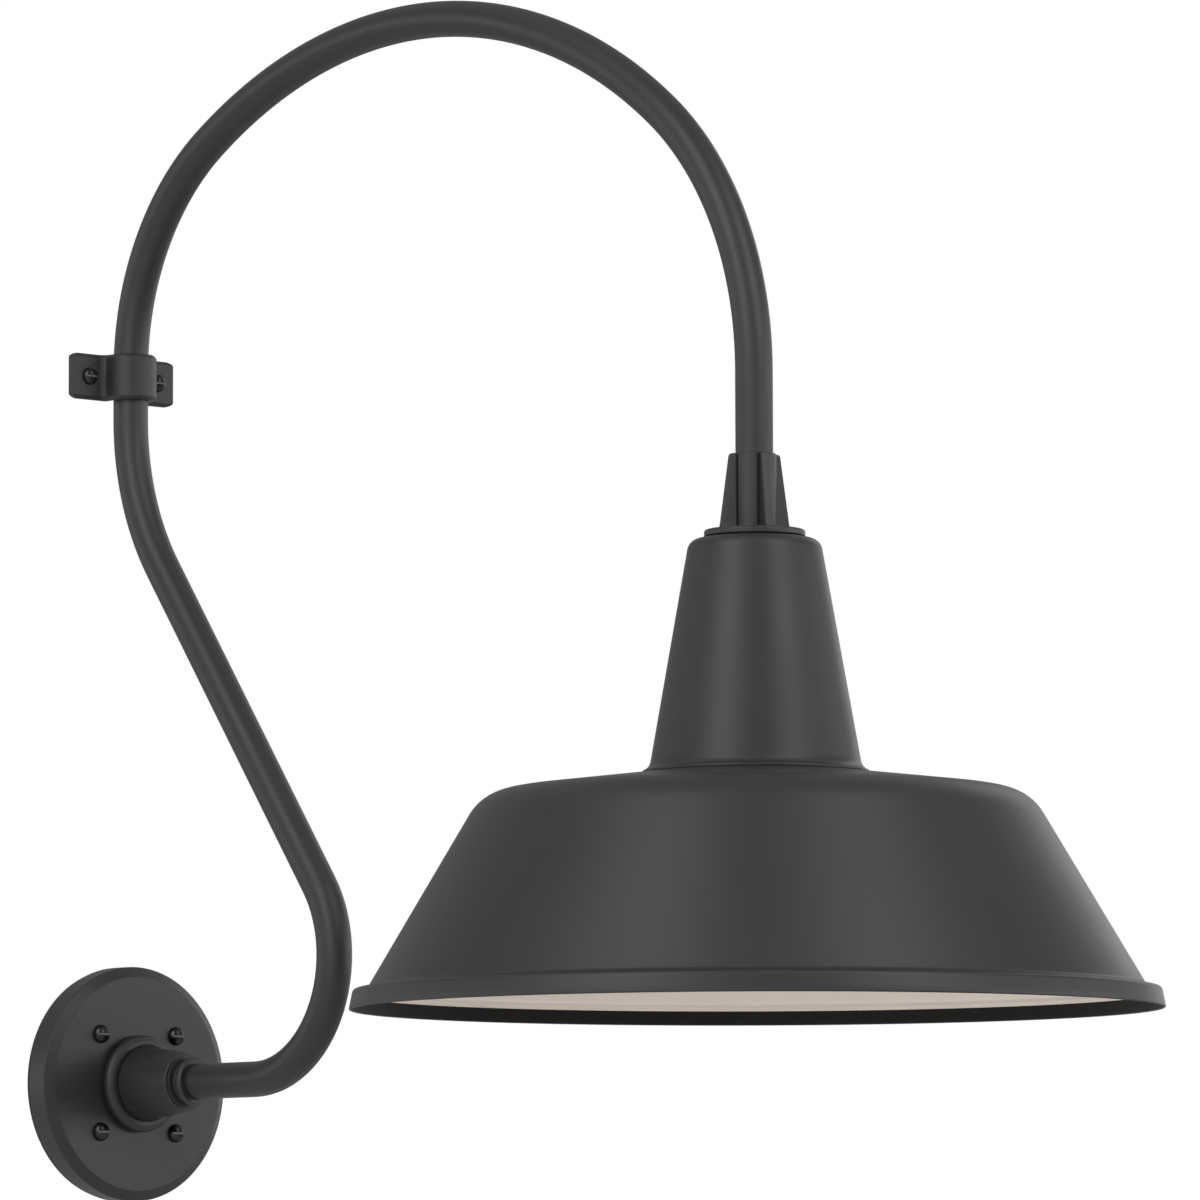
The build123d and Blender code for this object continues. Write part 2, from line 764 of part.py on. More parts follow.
# Finned collar: sleeve on the tube, four fins and a flange on the shade
sleeve_r = tube_r + swivel_gap + sleeve_wall
fin_top_r = sleeve_r + fin_top_stand
fin_foot_r = sleeve_r + fin_foot_stand
flange_r = fin_foot_r + flange_lip
collar_screw_angle = fin_start + 180
collar_screw_z = collar_top_z - collar_screw_drop
collar_fin_r = fin_top_r + (fin_foot_r - fin_top_r) * collar_screw_drop / fin_height
collar_screw_plane = upright_plane(collar_screw_z, collar_screw_angle + 90)
with BuildPart() as finned_collar:
    with BuildSketch(level(flange_z)):
        Circle(flange_r)
    extrude(amount=flange_thickness)
    fillet(finned_collar.edges().group_by(Axis.Z)[-1], flange_round)
    with BuildSketch(level(flange_top_z)):
        Circle(sleeve_r)
    extrude(amount=fin_height)
    for fin in range(fin_count):
        with BuildSketch(upright_plane(flange_top_z, fin_start + fin * 360 / fin_count)):
            with BuildLine():
                FilletPolyline((fin_foot_r, 0), (fin_top_r, fin_height), (0, fin_height), radius=fin_corner)
                Polyline((0, fin_height), (0, 0), (fin_foot_r, 0))
            make_face()
        extrude(amount=fin_thickness / 2, both=True)
    with BuildSketch(level(collar_top_z)):
        Circle(tube_r + swivel_gap)
    extrude(amount=-tube_seat - seat_gap, mode=Mode.SUBTRACT)
    with BuildSketch(level(flange_z)):
        Circle(nipple_r + thread_gap)
    extrude(amount=fin_height, mode=Mode.SUBTRACT)
    with BuildSketch(collar_screw_plane):
        Circle(collar_screw_r + thread_gap)
    extrude(amount=fin_foot_r, mode=Mode.SUBTRACT)
finned_collar.part.label = "finned_collar"
export_step(finned_collar.part, "parts/finned_collar.step")

# Grub screw in the fin at the back, a hair off the tube
collar_grub = grub_screw(collar_screw_r, collar_fin_r - tube_r - seat_gap - collar_screw_sink)
with BuildPart(collar_screw_plane.offset(tube_r + seat_gap)) as collar_set_screw:
    add(collar_grub)
collar_set_screw.part.label = "collar_set_screw"
export_step(collar_set_screw.part, "parts/collar_set_screw.step")

# Rubber ring between the collar and the shade
with BuildPart() as neck_gasket:
    with BuildSketch(level(neck_top_z)):
        Circle(flange_r - neck_gasket_inset)
        Circle(nipple_r + thread_gap, mode=Mode.SUBTRACT)
    extrude(amount=neck_gasket_thickness)
neck_gasket.part.label = "neck_gasket"
export_step(neck_gasket.part, "parts/neck_gasket.step")

# Threaded pipe through the shade's top
with BuildPart() as nipple:
    with BuildSketch(level(nipple_z)):
        Circle(nipple_r)
        Circle(nipple_bore_r, mode=Mode.SUBTRACT)
    extrude(amount=nipple_top_z - nipple_z)
nipple.part.label = "nipple"
export_step(nipple.part, "parts/nipple.step")

# Washer and locknut that clamp the shade from inside
with BuildPart() as neck_washer:
    with BuildSketch(level(neck_washer_z)):
        Circle(nipple_r + neck_washer_width)
        Circle(nipple_r + thread_gap, mode=Mode.SUBTRACT)
    extrude(amount=neck_washer_thickness)
neck_washer.part.label = "neck_washer"
export_step(neck_washer.part, "parts/neck_washer.step")

with BuildPart() as nipple_locknut:
    with BuildSketch(level(nipple_nut_z)):
        RegularPolygon(nipple_r + nipple_nut_wall, 6, major_radius=False)
        Circle(nipple_r + thread_gap, mode=Mode.SUBTRACT)
    extrude(amount=nipple_nut_height)
nipple_locknut.part.label = "nipple_locknut"
export_step(nipple_locknut.part, "parts/nipple_locknut.step")

# Spun neck: flat top, cone and flared foot
foot_start = (neck_top_r + neck_fall * tan(radians(neck_half_angle)), neck_top_z - neck_fall)
foot_centre = forward(foot_start, neck_half_angle, foot_r)
foot_end_angle = neck_half_angle + foot_turn
foot_middle_angle = neck_half_angle + foot_turn / 2


def on_foot(radius, angle):
    """Point of the flare, at a radius about its centre, where the wall leans from upright by an angle."""
    return forward(foot_centre, angle + 180, radius)


with BuildPart() as shade_neck:
    with BuildSketch(shade_section):
        with BuildLine():
            FilletPolyline(
                (nipple_r + hole_gap, neck_top_z),
                (neck_top_r, neck_top_z),
                foot_start,
                radius=neck_round,
            )
            ThreePointArc(foot_start, on_foot(foot_r, foot_middle_angle), on_foot(foot_r, foot_end_angle))
            offset(amount=sheet, side=Side.RIGHT, closed=True, kind=Kind.INTERSECTION)
        make_face()
    revolve(axis=shade_axis)
shade_neck.part.label = "shade_neck"
export_step(shade_neck.part, "parts/shade_neck.step")

# Spun dome: a lip inside the neck's foot, a shallow top, a straight skirt and a stepped rim
lip_r = foot_r + sheet + touch_gap
lip_foot = on_foot(lip_r, neck_half_angle)
lip_top = forward(lip_foot, neck_half_angle + 90, dome_lap)
dome_lean = 90 - dome_slope
dome_start = on_foot(lip_r, dome_lean)
dome_middle = on_foot(lip_r, (neck_half_angle + dome_lean) / 2)
ledge_r = rim_r - band_flare
skirt_r = ledge_r - ledge_width
shoulder_r = skirt_r - skirt_height * tan(radians(skirt_half_angle))
shoulder_z = dome_start[1] - (shoulder_r - dome_start[0]) * tan(radians(dome_slope))
skirt_z = shoulder_z - skirt_height
ledge_z = skirt_z - ledge_fall
rim_z = ledge_z - band_height
with BuildPart() as shade_dome:
    with BuildSketch(shade_section):
        with BuildLine():
            Line(lip_top, lip_foot)
            ThreePointArc(lip_foot, dome_middle, dome_start)
            FilletPolyline(
                dome_start,
                (shoulder_r, shoulder_z),
                (skirt_r, skirt_z),
                (ledge_r, ledge_z),
                (rim_r, rim_z),
                radius=[shoulder_round, ledge_root_round, ledge_edge_round],
            )
            offset(amount=sheet, side=Side.RIGHT, closed=True, kind=Kind.INTERSECTION)
        make_face()
    revolve(axis=shade_axis)
shade_dome.part.label = "shade_dome"
export_step(shade_dome.part, "parts/shade_dome.step")

# The cable's last stretch, through the nipple into the lampholder's cap
with BuildPart() as head_cable:
    with BuildSketch(level(nipple_z)):
        Circle(cable_r)
    extrude(amount=tube_end_z - seat_gap - nipple_z)
head_cable.part.label = "head_cable"
export_step(head_cable.part, "parts/head_cable.step")

# Lampholder cap, screwed on the nipple
cap_inner_r = cap_r - cap_wall
with BuildPart() as lampholder_cap:
    with BuildSketch(shade_section):
        with BuildLine():
            Polyline(
                (nipple_r + thread_gap, cap_top_z),
                (cap_r, cap_top_z),
                (cap_r, cap_z),
                (cap_inner_r, cap_z),
                (cap_inner_r, cap_top_z - cap_roof),
                (nipple_r + boss_wall, cap_top_z - cap_roof),
                (nipple_r + boss_wall, nipple_z),
                (nipple_r + thread_gap, nipple_z),
                close=True,
            )
        make_face()
    revolve(axis=shade_axis)
    top_edges = lampholder_cap.edges().filter_by(GeomType.CIRCLE).group_by(Axis.Z)[-1]
    fillet(top_edges.sort_by(SortBy.RADIUS)[-1], cap_roof)
lampholder_cap.part.label = "lampholder_cap"
export_step(lampholder_cap.part, "parts/lampholder_cap.step")

# Porcelain body: tongue in the cap, bore for the bulb and holes for the rivets
shell_rivet_out = contact_r + contact_clear + rivet_head_r
with BuildPart() as lampholder_body:
    with BuildSketch(shade_section):
        with BuildLine():
            Polyline(
                (0, body_top_z),
                (tongue_r, body_top_z),
                (tongue_r, cap_z),
                (body_r, cap_z),
                (body_r, body_z),
                (body_bore_r, body_z),
                (body_bore_r, bore_roof_z),
                (0, bore_roof_z),
                close=True,
            )
        make_face()
    revolve(axis=shade_axis)
    mouth_edges = lampholder_body.edges().filter_by(GeomType.CIRCLE).group_by(Axis.Z)[0]
    fillet(mouth_edges.sort_by(SortBy.RADIUS)[-1], body_round)
    with BuildSketch(level(bore_roof_z)):
        with Locations((0, 0), (shell_rivet_out, 0)):
            Circle(rivet_r + thread_gap)
    extrude(amount=body_top_z - bore_roof_z, mode=Mode.SUBTRACT)
lampholder_body.part.label = "lampholder_body"
export_step(lampholder_body.part, "parts/lampholder_body.step")

# Metal shell for the bulb's thread, with a ring under the bore's roof
with BuildPart() as screw_shell:
    with BuildSketch(level(body_z + shell_mouth)):
        Circle(shell_r)
        Circle(shell_r - shell_wall, mode=Mode.SUBTRACT)
    extrude(amount=bore_roof_z - body_z - shell_mouth)
    with BuildSketch(level(shell_roof_z)):
        Circle(shell_r)
        Circle(contact_r + contact_clear, mode=Mode.SUBTRACT)
        with Locations((shell_rivet_out, 0)):
            Circle(rivet_r + thread_gap, mode=Mode.SUBTRACT)
    extrude(amount=shell_wall)
screw_shell.part.label = "screw_shell"
export_step(screw_shell.part, "parts/screw_shell.step")

# Contact for the bulb's tip
with BuildPart() as centre_contact:
    with BuildSketch(level(contact_z)):
        Circle(contact_r)
    extrude(amount=contact_thickness)
centre_contact.part.label = "centre_contact"
export_step(centre_contact.part, "parts/centre_contact.step")

# Rivets that hold the contact and the shell, with their heads on the tongue
with BuildPart() as contact_rivets:
    with BuildSketch(level(body_top_z)):
        with Locations((0, 0), (shell_rivet_out, 0)):
            Circle(rivet_head_r)
    extrude(amount=rivet_head_height)
    with BuildSketch(level(contact_top_z)):
        Circle(rivet_r)
    extrude(amount=body_top_z - contact_top_z)
    with BuildSketch(level(shell_roof_z)):
        with Locations((shell_rivet_out, 0)):
            Circle(rivet_r)
    extrude(amount=body_top_z - shell_roof_z)
    with BuildSketch(level(shell_roof_z)):
        with Locations((shell_rivet_out, 0)):
            Circle(rivet_head_r)
    extrude(amount=-rivet_head_height)
contact_rivets.part.label = "contact_rivets"
export_step(contact_rivets.part, "parts/contact_rivets.step")

# Leads from the cable's end to the rivets
lead_turn_z = (nipple_z + rivet_top_z) / 2
with BuildPart() as lamp_leads:
    with BuildSketch(level(rivet_top_z)):
        with Locations((-lead_spread, 0)):
            Circle(lead_r)
    extrude(amount=nipple_z - rivet_top_z)
    with BuildLine() as shell_lead_line:
        FilletPolyline(
            (shade_x + lead_spread, 0, nipple_z),
            (shade_x + lead_spread, 0, lead_turn_z),
            (shade_x + shell_rivet_out, 0, lead_turn_z),
            (shade_x + shell_rivet_out, 0, rivet_top_z),
            radius=lead_bend,
        )
    with BuildSketch(level(nipple_z)):
        with Locations((lead_spread, 0)):
            Circle(lead_r)
    sweep(path=shell_lead_line.wires()[0])
lamp_leads.part.label = "lamp_leads"
export_step(lamp_leads.part, "parts/lamp_leads.step")

# The bulb's threaded cap
cap_inside_r = thread_root_r - bulb_cap_wall
thread_z = bulb_cap_top_z - thread_turns * thread_pitch
with BuildPart() as bulb_cap:
    with BuildSketch(shade_section):
        with BuildLine():
            for turn in range(thread_turns):
                ridge_z = thread_z + turn * thread_pitch
                ThreePointArc(
                    (thread_root_r, ridge_z),
                    (bulb_cap_r, ridge_z + thread_pitch / 2),
                    (thread_root_r, ridge_z + thread_pitch),
                )
            Polyline(
                (thread_root_r, bulb_cap_top_z),
                (cap_inside_r, bulb_cap_top_z),
                (cap_inside_r, bulb_cap_z),
                (thread_root_r, bulb_cap_z),
                (thread_root_r, thread_z),
            )
        make_face()
    revolve(axis=shade_axis)
bulb_cap.part.label = "bulb_cap"
export_step(bulb_cap.part, "parts/bulb_cap.step")

# Insulator and contact tip on the cap
with BuildPart() as bulb_insulator:
    with BuildSketch(shade_section):
        with BuildLine():
            Polyline(
                (0, bulb_cap_top_z),
                (thread_root_r, bulb_cap_top_z),
                (tip_r + insulator_ledge, insulator_top_z),
                (0, insulator_top_z),
                close=True,
            )
        make_face()
    revolve(axis=shade_axis)
bulb_insulator.part.label = "bulb_insulator"
export_step(bulb_insulator.part, "parts/bulb_insulator.step")

with BuildPart() as bulb_tip:
    with BuildSketch(level(insulator_top_z)):
        Circle(tip_r)
    extrude(amount=tip_height)
    fillet(bulb_tip.edges().group_by(Axis.Z)[-1], tip_round)
bulb_tip.part.label = "bulb_tip"
export_step(bulb_tip.part, "parts/bulb_tip.step")

# Glass: a neck inside the cap, a cone and a ball
tuck_r = cap_inside_r - hole_gap
glass_neck = (tuck_r + glass_neck_flare, bulb_cap_z - glass_neck_length)
ball_centre = (0, glass_z + glass_r)
neck_rise = glass_neck[1] - ball_centre[1]
neck_angle = degrees(atan2(neck_rise, glass_neck[0]))
ball_start_angle = neck_angle - degrees(acos(glass_r / hypot(glass_neck[0], neck_rise)))
ball_start = forward(ball_centre, ball_start_angle, glass_r)
ball_middle = forward(ball_centre, (ball_start_angle - 90) / 2, glass_r)
with BuildPart() as bulb_glass:
    with BuildSketch(shade_section):
        with BuildLine():
            FilletPolyline(
                (tuck_r, bulb_cap_z + glass_tuck),
                (tuck_r, bulb_cap_z - hole_gap),
                glass_neck,
                ball_start,
                radius=[glass_neck_flare, glass_neck_round],
            )
            ThreePointArc(ball_start, ball_middle, (0, glass_z))
            offset(amount=glass_wall, side=Side.RIGHT, closed=True, kind=Kind.INTERSECTION)
        make_face()
    revolve(axis=shade_axis)
bulb_glass.part.label = "bulb_glass"
export_step(bulb_glass.part, "parts/bulb_glass.step")

# Stem with a flare at the glass's neck
flare_z = bulb_cap_z + glass_tuck - stem_flare_height
with BuildPart() as bulb_stem:
    with BuildSketch(level(bulb_cap_top_z)):
        Circle(stem_r)
    extrude(amount=-stem_length)
    with BuildSketch(level(flare_z)):
        Circle(tuck_r - glass_wall - hole_gap)
    extrude(amount=stem_flare_height)
bulb_stem.part.label = "bulb_stem"
export_step(bulb_stem.part, "parts/bulb_stem.step")

# Filament sticks round the stem's lower end, each on two wire arms
filament_start = stem_r + thread_gap
filament_circle = stem_r + filament_stand
with BuildPart() as filament_stick:
    with BuildSketch():
        with Locations((filament_circle, 0)):
            Circle(filament_r)
    extrude(amount=filament_length)
    with BuildSketch(Plane.YZ.offset(filament_start)):
        with Locations((0, filament_arm_r), (0, filament_length - filament_arm_r)):
            Circle(filament_arm_r)
    extrude(amount=filament_circle - filament_start)

with BuildPart(level(bulb_cap_top_z - stem_length)) as bulb_filaments:
    with PolarLocations(0, filament_count):
        add(filament_stick.part)
bulb_filaments.part.label = "bulb_filaments"
export_step(bulb_filaments.part, "parts/bulb_filaments.step")
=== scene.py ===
"""Barn light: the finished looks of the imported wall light, built round its solids.

Every new piece is a surface worked out on a grid, in metres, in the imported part's own frame:
the wall is the plane x = 0, the light stands out along +X and +Z is up.
"""

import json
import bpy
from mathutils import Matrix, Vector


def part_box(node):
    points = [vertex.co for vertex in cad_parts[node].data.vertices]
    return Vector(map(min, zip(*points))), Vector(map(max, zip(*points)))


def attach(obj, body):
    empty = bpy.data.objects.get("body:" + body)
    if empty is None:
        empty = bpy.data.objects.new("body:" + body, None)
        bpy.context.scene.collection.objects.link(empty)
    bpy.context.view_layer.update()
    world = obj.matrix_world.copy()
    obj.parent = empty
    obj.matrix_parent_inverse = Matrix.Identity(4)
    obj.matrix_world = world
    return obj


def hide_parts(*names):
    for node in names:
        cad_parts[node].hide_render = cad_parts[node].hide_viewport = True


bl_info = {
    "name": "Barn light",
    "version": (1, 0, 0),
    "blender": (4, 5, 0),
    "location": "3D View > Sidebar > Barn light",
    "description": "Builds a gooseneck wall light with a spun shade",
    "category": "Object",
}

from math import acos, asin, atan2, ceil, cos, hypot, pi, radians, sin, sqrt, tan

import bmesh
import bpy
import numpy as np
from bpy.props import FloatProperty, FloatVectorProperty, PointerProperty
from bpy.types import Operator, Panel, PropertyGroup
from mathutils import Matrix, Vector

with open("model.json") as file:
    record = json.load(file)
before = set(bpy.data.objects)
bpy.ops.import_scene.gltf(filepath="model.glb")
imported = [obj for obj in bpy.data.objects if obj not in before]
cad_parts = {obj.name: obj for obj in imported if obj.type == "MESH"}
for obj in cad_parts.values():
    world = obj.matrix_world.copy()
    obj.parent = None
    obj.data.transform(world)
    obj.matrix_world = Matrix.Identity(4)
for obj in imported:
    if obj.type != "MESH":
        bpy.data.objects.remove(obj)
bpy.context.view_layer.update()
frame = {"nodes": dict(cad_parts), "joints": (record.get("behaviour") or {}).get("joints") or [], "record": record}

MM = 0.001
WELD = 1e-6
SHARP = radians(33)
# A fit's clear space, and the small rounds of turned and of cast edges
CLEARANCE, FINE, SOFT = 0.05 * MM, 0.3 * MM, 0.5 * MM
# Steps along straight and bent tube, round the bends of spun sheet, and round its edge
RUN_STEP, BEND_STEP, SPUN_STEP, EDGE_STEPS = 10 * MM, 5 * MM, radians(6), 6
SHADE_X = next(joint for joint in frame["joints"] if joint["name"] == "shade_swivel")["pos_m"][0]


# Properties

def length(name, description, millimetres):
    """A size that is given here in millimetres."""
    return FloatProperty(
        name=name, description=description, default=millimetres * MM, unit="LENGTH", precision=5
    )


def angle(name, description, degrees):
    """An angle that is given here in degrees."""
    return FloatProperty(
        name=name, description=description, default=radians(degrees), subtype="ANGLE"
    )


def share(name, description, value):
    """A number from 0 to 1."""
    return FloatProperty(
        name=name, description=description, default=value, min=0.0, max=1.0, subtype="FACTOR"
    )


def amount(name, description, value):
    """A plain number."""
    return FloatProperty(name=name, description=description, default=value)


def colour(name, description, red, green, blue):
    """A linear colour."""
    return FloatVectorProperty(
        name=name, description=description, default=(red, green, blue), subtype="COLOR", min=0.0, max=1.0
    )


class ArmSizes(PropertyGroup):
    """The tube that is bent in the plane y = 0."""

    radius: length("Tube radius", "Outside of the tube", 9.5)
    wall: length("Tube wall", "Wall of the tube", 1.6)
    wall_gap: length("Gap to wall", "Between the upright tube and the wall", 0.5)
    lower_run: length("Lower run", "Reach at which the lower bend starts", 115.0)
    lower_bend: length("Lower bend", "Radius of the lower bend", 64.0)
    lower_turn: angle("Lower turn", "Turn of the lower bend", 126.0)
    reverse_bend: length("Reverse bend", "Radius of the bend below the strap", 143.5)
    strap_run: length("Strap run", "Straight stretch under the strap", 27.0)
    wall_arch: length("Wall arch", "Radius of the bend above the strap", 137.5)
    wall_turn: angle("Wall arch turn", "Turn of the bend above the strap", 58.0)
    crown: length("Crown", "Radius over the top", 306.5)
    crown_turn: angle("Crown turn", "Turn over the top", 71.5)
    drop_arch: length("Drop arch", "Radius of the bend above the shade", 180.0)
    seat: length("Seat", "Length of tube inside the collar", 26.5)


class PlateSizes(PropertyGroup):
    """The round wall plate and the hub on it."""

    radius: length("Plate radius", "Edge of the plate", 63.5)
    wall: length("Plate wall", "Thickness of the side", 4.0)
    bevel_radial: length("Bevel width", "Across the face", 5.4)
    bevel_axial: length("Bevel depth", "Towards the wall", 3.1)
    face: length("Face", "Thickness of the face", 3.0)
    edge_round: length("Edge round", "Outer edge of the bevel", 0.9)
    face_round: length("Face round", "Inner edge of the bevel", 1.6)
    ring_section: length("Ring section", "Section radius of the base ring", 4.2)
    ring_radius: length("Ring radius", "Centre of the section from the axis", 22.0)
    ring_lift: length("Ring lift", "Centre of the section above the face", 3.2)
    body_radius: length("Hub radius", "Body at the ring", 19.9)
    nose_radius: length("Nose radius", "Body at its nose", 15.9)
    nose_round: length("Nose round", "Edge of the nose", 0.9)
    spigot_radius: length("Spigot radius", "Thread behind the face", 10.0)
    wire_radius: length("Wire hole", "Hole through the spigot", 6.0)
    ferrule_radius: length("Ferrule radius", "Ring that closes the hub", 14.4)
    ferrule_groove: length("Ferrule groove", "Bottom of its groove", 10.9)
    ferrule_waist: length("Bead foot", "Radius at the foot of its bead", 12.2)
    ferrule_bead: length("Ferrule bead", "Width of its bead", 4.6)
    ferrule_rise: length("Bead rise", "Height of its bead", 1.1)


class StrapSizes(PropertyGroup):
    """The cast saddle that holds the tube to the wall."""

    thickness: length("Flange", "Thickness of the flanges", 4.0)
    inner: length("Saddle inside", "Radius of the hollow", 9.8)
    outer: length("Saddle outside", "Radius of the saddle", 14.1)
    fillet: length("Root fillet", "Between saddle and flange", 3.0)
    bevel: length("Bevel", "Along the upper and lower edges", 1.6)
    corner: length("Corner", "Round of the flange corners", 3.0)


class ScrewSizes(PropertyGroup):
    """The slotted round-head screws."""

    plate_head: length("Plate head radius", "Heads on the plate", 5.0)
    plate_height: length("Plate head height", "Heads on the plate", 4.7)
    strap_head: length("Strap head radius", "Heads on the strap", 4.7)
    strap_height: length("Strap head height", "Heads on the strap", 4.4)
    edge: length("Head edge", "Height of the straight edge", 0.7)
    slot_width: length("Slot width", "Driver slot", 1.4)
    slot_depth: length("Slot depth", "Driver slot", 1.9)
    shank: length("Shank radius", "Plain shank", 2.4)
    crest: length("Thread crest", "Outer radius of the thread", 2.1)
    root: length("Thread root", "Inner radius of the thread", 1.6)
    pitch: length("Thread pitch", "Rise of one turn", 1.8)
    point: length("Point", "Length of the point", 5.0)


class CollarSizes(PropertyGroup):
    """The finned casting between the tube and the shade."""

    sleeve: length("Sleeve radius", "Outside of the sleeve", 11.1)
    bore: length("Bore radius", "Bore for the tube", 9.58)
    nipple_hole: length("Nipple hole", "Radius of the threaded hole", 6.45)
    seat: length("Bore depth", "Below the top", 26.8)
    flange: length("Flange radius", "Base flange", 25.4)
    flange_height: length("Flange height", "Base flange", 3.4)
    flange_round: length("Flange round", "Upper edge of the flange", 1.2)
    fin_top: length("Fin top", "Reach of the fins at the top", 13.3)
    fin_foot: length("Fin foot", "Reach of the fins at the flange", 18.7)
    fin_thickness: length("Fin thickness", "Across a fin", 4.4)
    fin_corner: length("Fin corner", "Round of the upper corner", 1.4)
    fin_edge: length("Fin edge", "Round of the upright edges", 0.5)
    root: length("Root fillet", "Where a fin meets the flange", 0.8)
    gutter: length("Gutter", "Width between a fin and the sleeve", 1.2)
    gutter_depth: length("Gutter depth", "Below the sleeve", 1.1)
    fin_start: angle("First fin", "Direction of the first fin", -20.0)


class ShadeSizes(PropertyGroup):
    """The spun neck and dome."""

    sheet: length("Sheet", "Thickness of the sheet", 1.2)
    neck_hole: length("Neck hole", "Radius of the hole for the nipple", 6.7)
    neck_top: length("Neck top", "Radius at the upper corner", 32.9)
    neck_round: length("Neck round", "Round of the upper corner", 6.5)
    neck_lean: angle("Neck lean", "Half angle of the neck", 10.0)
    neck_fall: length("Neck fall", "Height of the neck above its flare", 111.5)
    flare: length("Flare", "Bend at the foot of the neck", 6.4)
    flare_turn: angle("Flare turn", "Turn of that bend", 60.0)
    lap: length("Lap", "Length of dome inside the neck", 6.5)
    dome_slope: angle("Dome slope", "Fall of the dome's top", 6.7)
    shoulder: length("Shoulder round", "Between the dome's top and the skirt", 25.5)
    skirt_lean: angle("Skirt lean", "Half angle of the skirt", 30.5)
    skirt_foot: length("Skirt foot", "Radius at the foot of the skirt", 193.5)
    skirt_height: length("Skirt height", "Up to the shoulder's corner", 96.3)
    ledge: length("Ledge", "Radius at the edge of the ledge", 201.2)
    ledge_fall: length("Ledge fall", "Fall of the ledge", 1.55)
    ledge_root: length("Ledge root", "Round between skirt and ledge", 2.6)
    ledge_edge: length("Ledge edge", "Round of the ledge's edge", 2.2)
    rim: length("Rim", "Radius of the rim", 203.2)
    band: length("Band", "Height of the band under the ledge", 9.95)
    # The dark band inside is black paint, darkened further with painted shade.
    dark_lip: length("Dark lip", "Height of the dark band inside", 7.5)


class LampSizes(PropertyGroup):
    """The lampholder and the bulb."""

    cap_radius: length("Cap radius", "Metal cap of the lampholder", 20.4)
    cap_wall: length("Cap wall", "Side of the metal cap", 1.2)
    cap_roof: length("Cap roof", "Top of the metal cap", 2.0)
    body_radius: length("Body radius", "Porcelain body", 20.9)
    body_bore: length("Body bore", "Radius of the bore for the bulb", 14.9)
    thread_radius: length("Bulb thread", "Outer radius of the thread", 13.1)
    thread_depth: length("Thread depth", "From crest to root", 0.6)
    thread_pitch: length("Thread pitch", "Rise of one turn", 3.63)
    thread_wall: length("Thread wall", "Sheet of the bulb's cap", 0.5)
    ball: length("Ball", "Radius of the glass ball", 30.0)
    glass_wall: length("Glass wall", "Thickness of the glass", 0.8)


class Finishes(PropertyGroup):
    """Colours of the finishes."""

    charcoal: colour("Charcoal", "Powder coat", 0.014, 0.014, 0.014)
    enamel: colour("Enamel", "Warm white inside the shade", 0.87, 0.79, 0.71)
    blackened: colour("Blackened steel", "Screws", 0.045, 0.045, 0.046)
    zinc: colour("Zinc", "Nuts and washers", 0.58, 0.60, 0.62)
    brass: colour("Brass", "Lampholder metal and earth fittings", 0.72, 0.52, 0.24)
    nickel: colour("Nickel", "Bulb cap", 0.70, 0.69, 0.67)
    porcelain: colour("Porcelain", "Lampholder body", 0.82, 0.80, 0.75)
    rubber: colour("Rubber", "Gaskets", 0.022, 0.022, 0.023)
    phosphor: colour("Phosphor", "Filament sticks", 0.90, 0.62, 0.18)


class StageSettings(PropertyGroup):
    """Camera, light and floor."""

    camera_place: FloatVectorProperty(
        name="Camera place", description="Where the camera stands", default=(3.2466, -2.6953, -0.1364),
        subtype="TRANSLATION", precision=5,
    )
    camera_azimuth: angle("Camera azimuth", "Direction of view, from +Y towards -X", 46.72)
    camera_pitch: angle("Camera pitch", "Upward tilt", 5.433)
    camera_roll: angle("Camera roll", "Roll about the line of sight", -0.163)
    camera_lens: amount("Camera lens", "Focal length in millimetres, on a 36 mm sensor", 231.894)
    floor_height: length("Floor height", "Height of the floor", -620.0)
    sky: amount("Sky", "Strength of the light from all round", 0.58)
    front_dim: share("Front dim", "Share of the sky's light from the camera's side", 0.1)
    back_dim: share("Back dim", "Share of the sky's light from behind", 0.8)
    side_dim: share("Side dim", "Share of the sky's light from half-way up both sides", 0.45)
    left_glow: amount("Left glow", "Light from low on the left", 1.4)
    right_glow: amount("Right glow", "Light from low on the right", 3.0)
    front_glow: amount("Front glow", "Light from low on the camera's side", 1.8)
    flag: share("Flag", "Share of the sky's light past the flag right of the camera", 0.15)
    left_box: amount("Left softbox", "Power left of the camera", 26.0)
    right_box: amount("Right softbox", "Power right of the camera", 25.0)
    rim_box: amount("Rim softbox", "Power behind the right side", 7.0)


# Lines and surfaces

def grid(*coordinates):
    """Points from coordinates that are numbers or arrays, spread over one grid."""
    return np.stack(np.broadcast_arrays(*coordinates), axis=-1)


def unit(vectors):
    """The same directions, with length 1."""
    return vectors / np.linalg.norm(vectors, axis=-1, keepdims=True)


def full_turn(sides):
    """Angles in equal steps round a circle."""
    return np.linspace(0.0, 2 * pi, sides, endpoint=False)


def span(node, axis):
    """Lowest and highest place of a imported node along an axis."""
    return [getattr(corner, axis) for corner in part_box(node)]


def straight(start, end, spacing):
    """Equal steps from start to end, no longer than spacing, without the start itself."""
    gap = np.linalg.norm(end - start)
    steps = ceil(gap / spacing) if gap > WELD else 0
    return start + np.linspace(0.0, 1.0, steps + 1)[1:, None] * (end - start)


def arc(centre, radius, start, end, count):
    """Points centre + radius * (cos t, sin t) for t from start to end."""
    turn = np.linspace(start, end, count)
    return np.array(centre) + radius * grid(np.cos(turn), np.sin(turn))


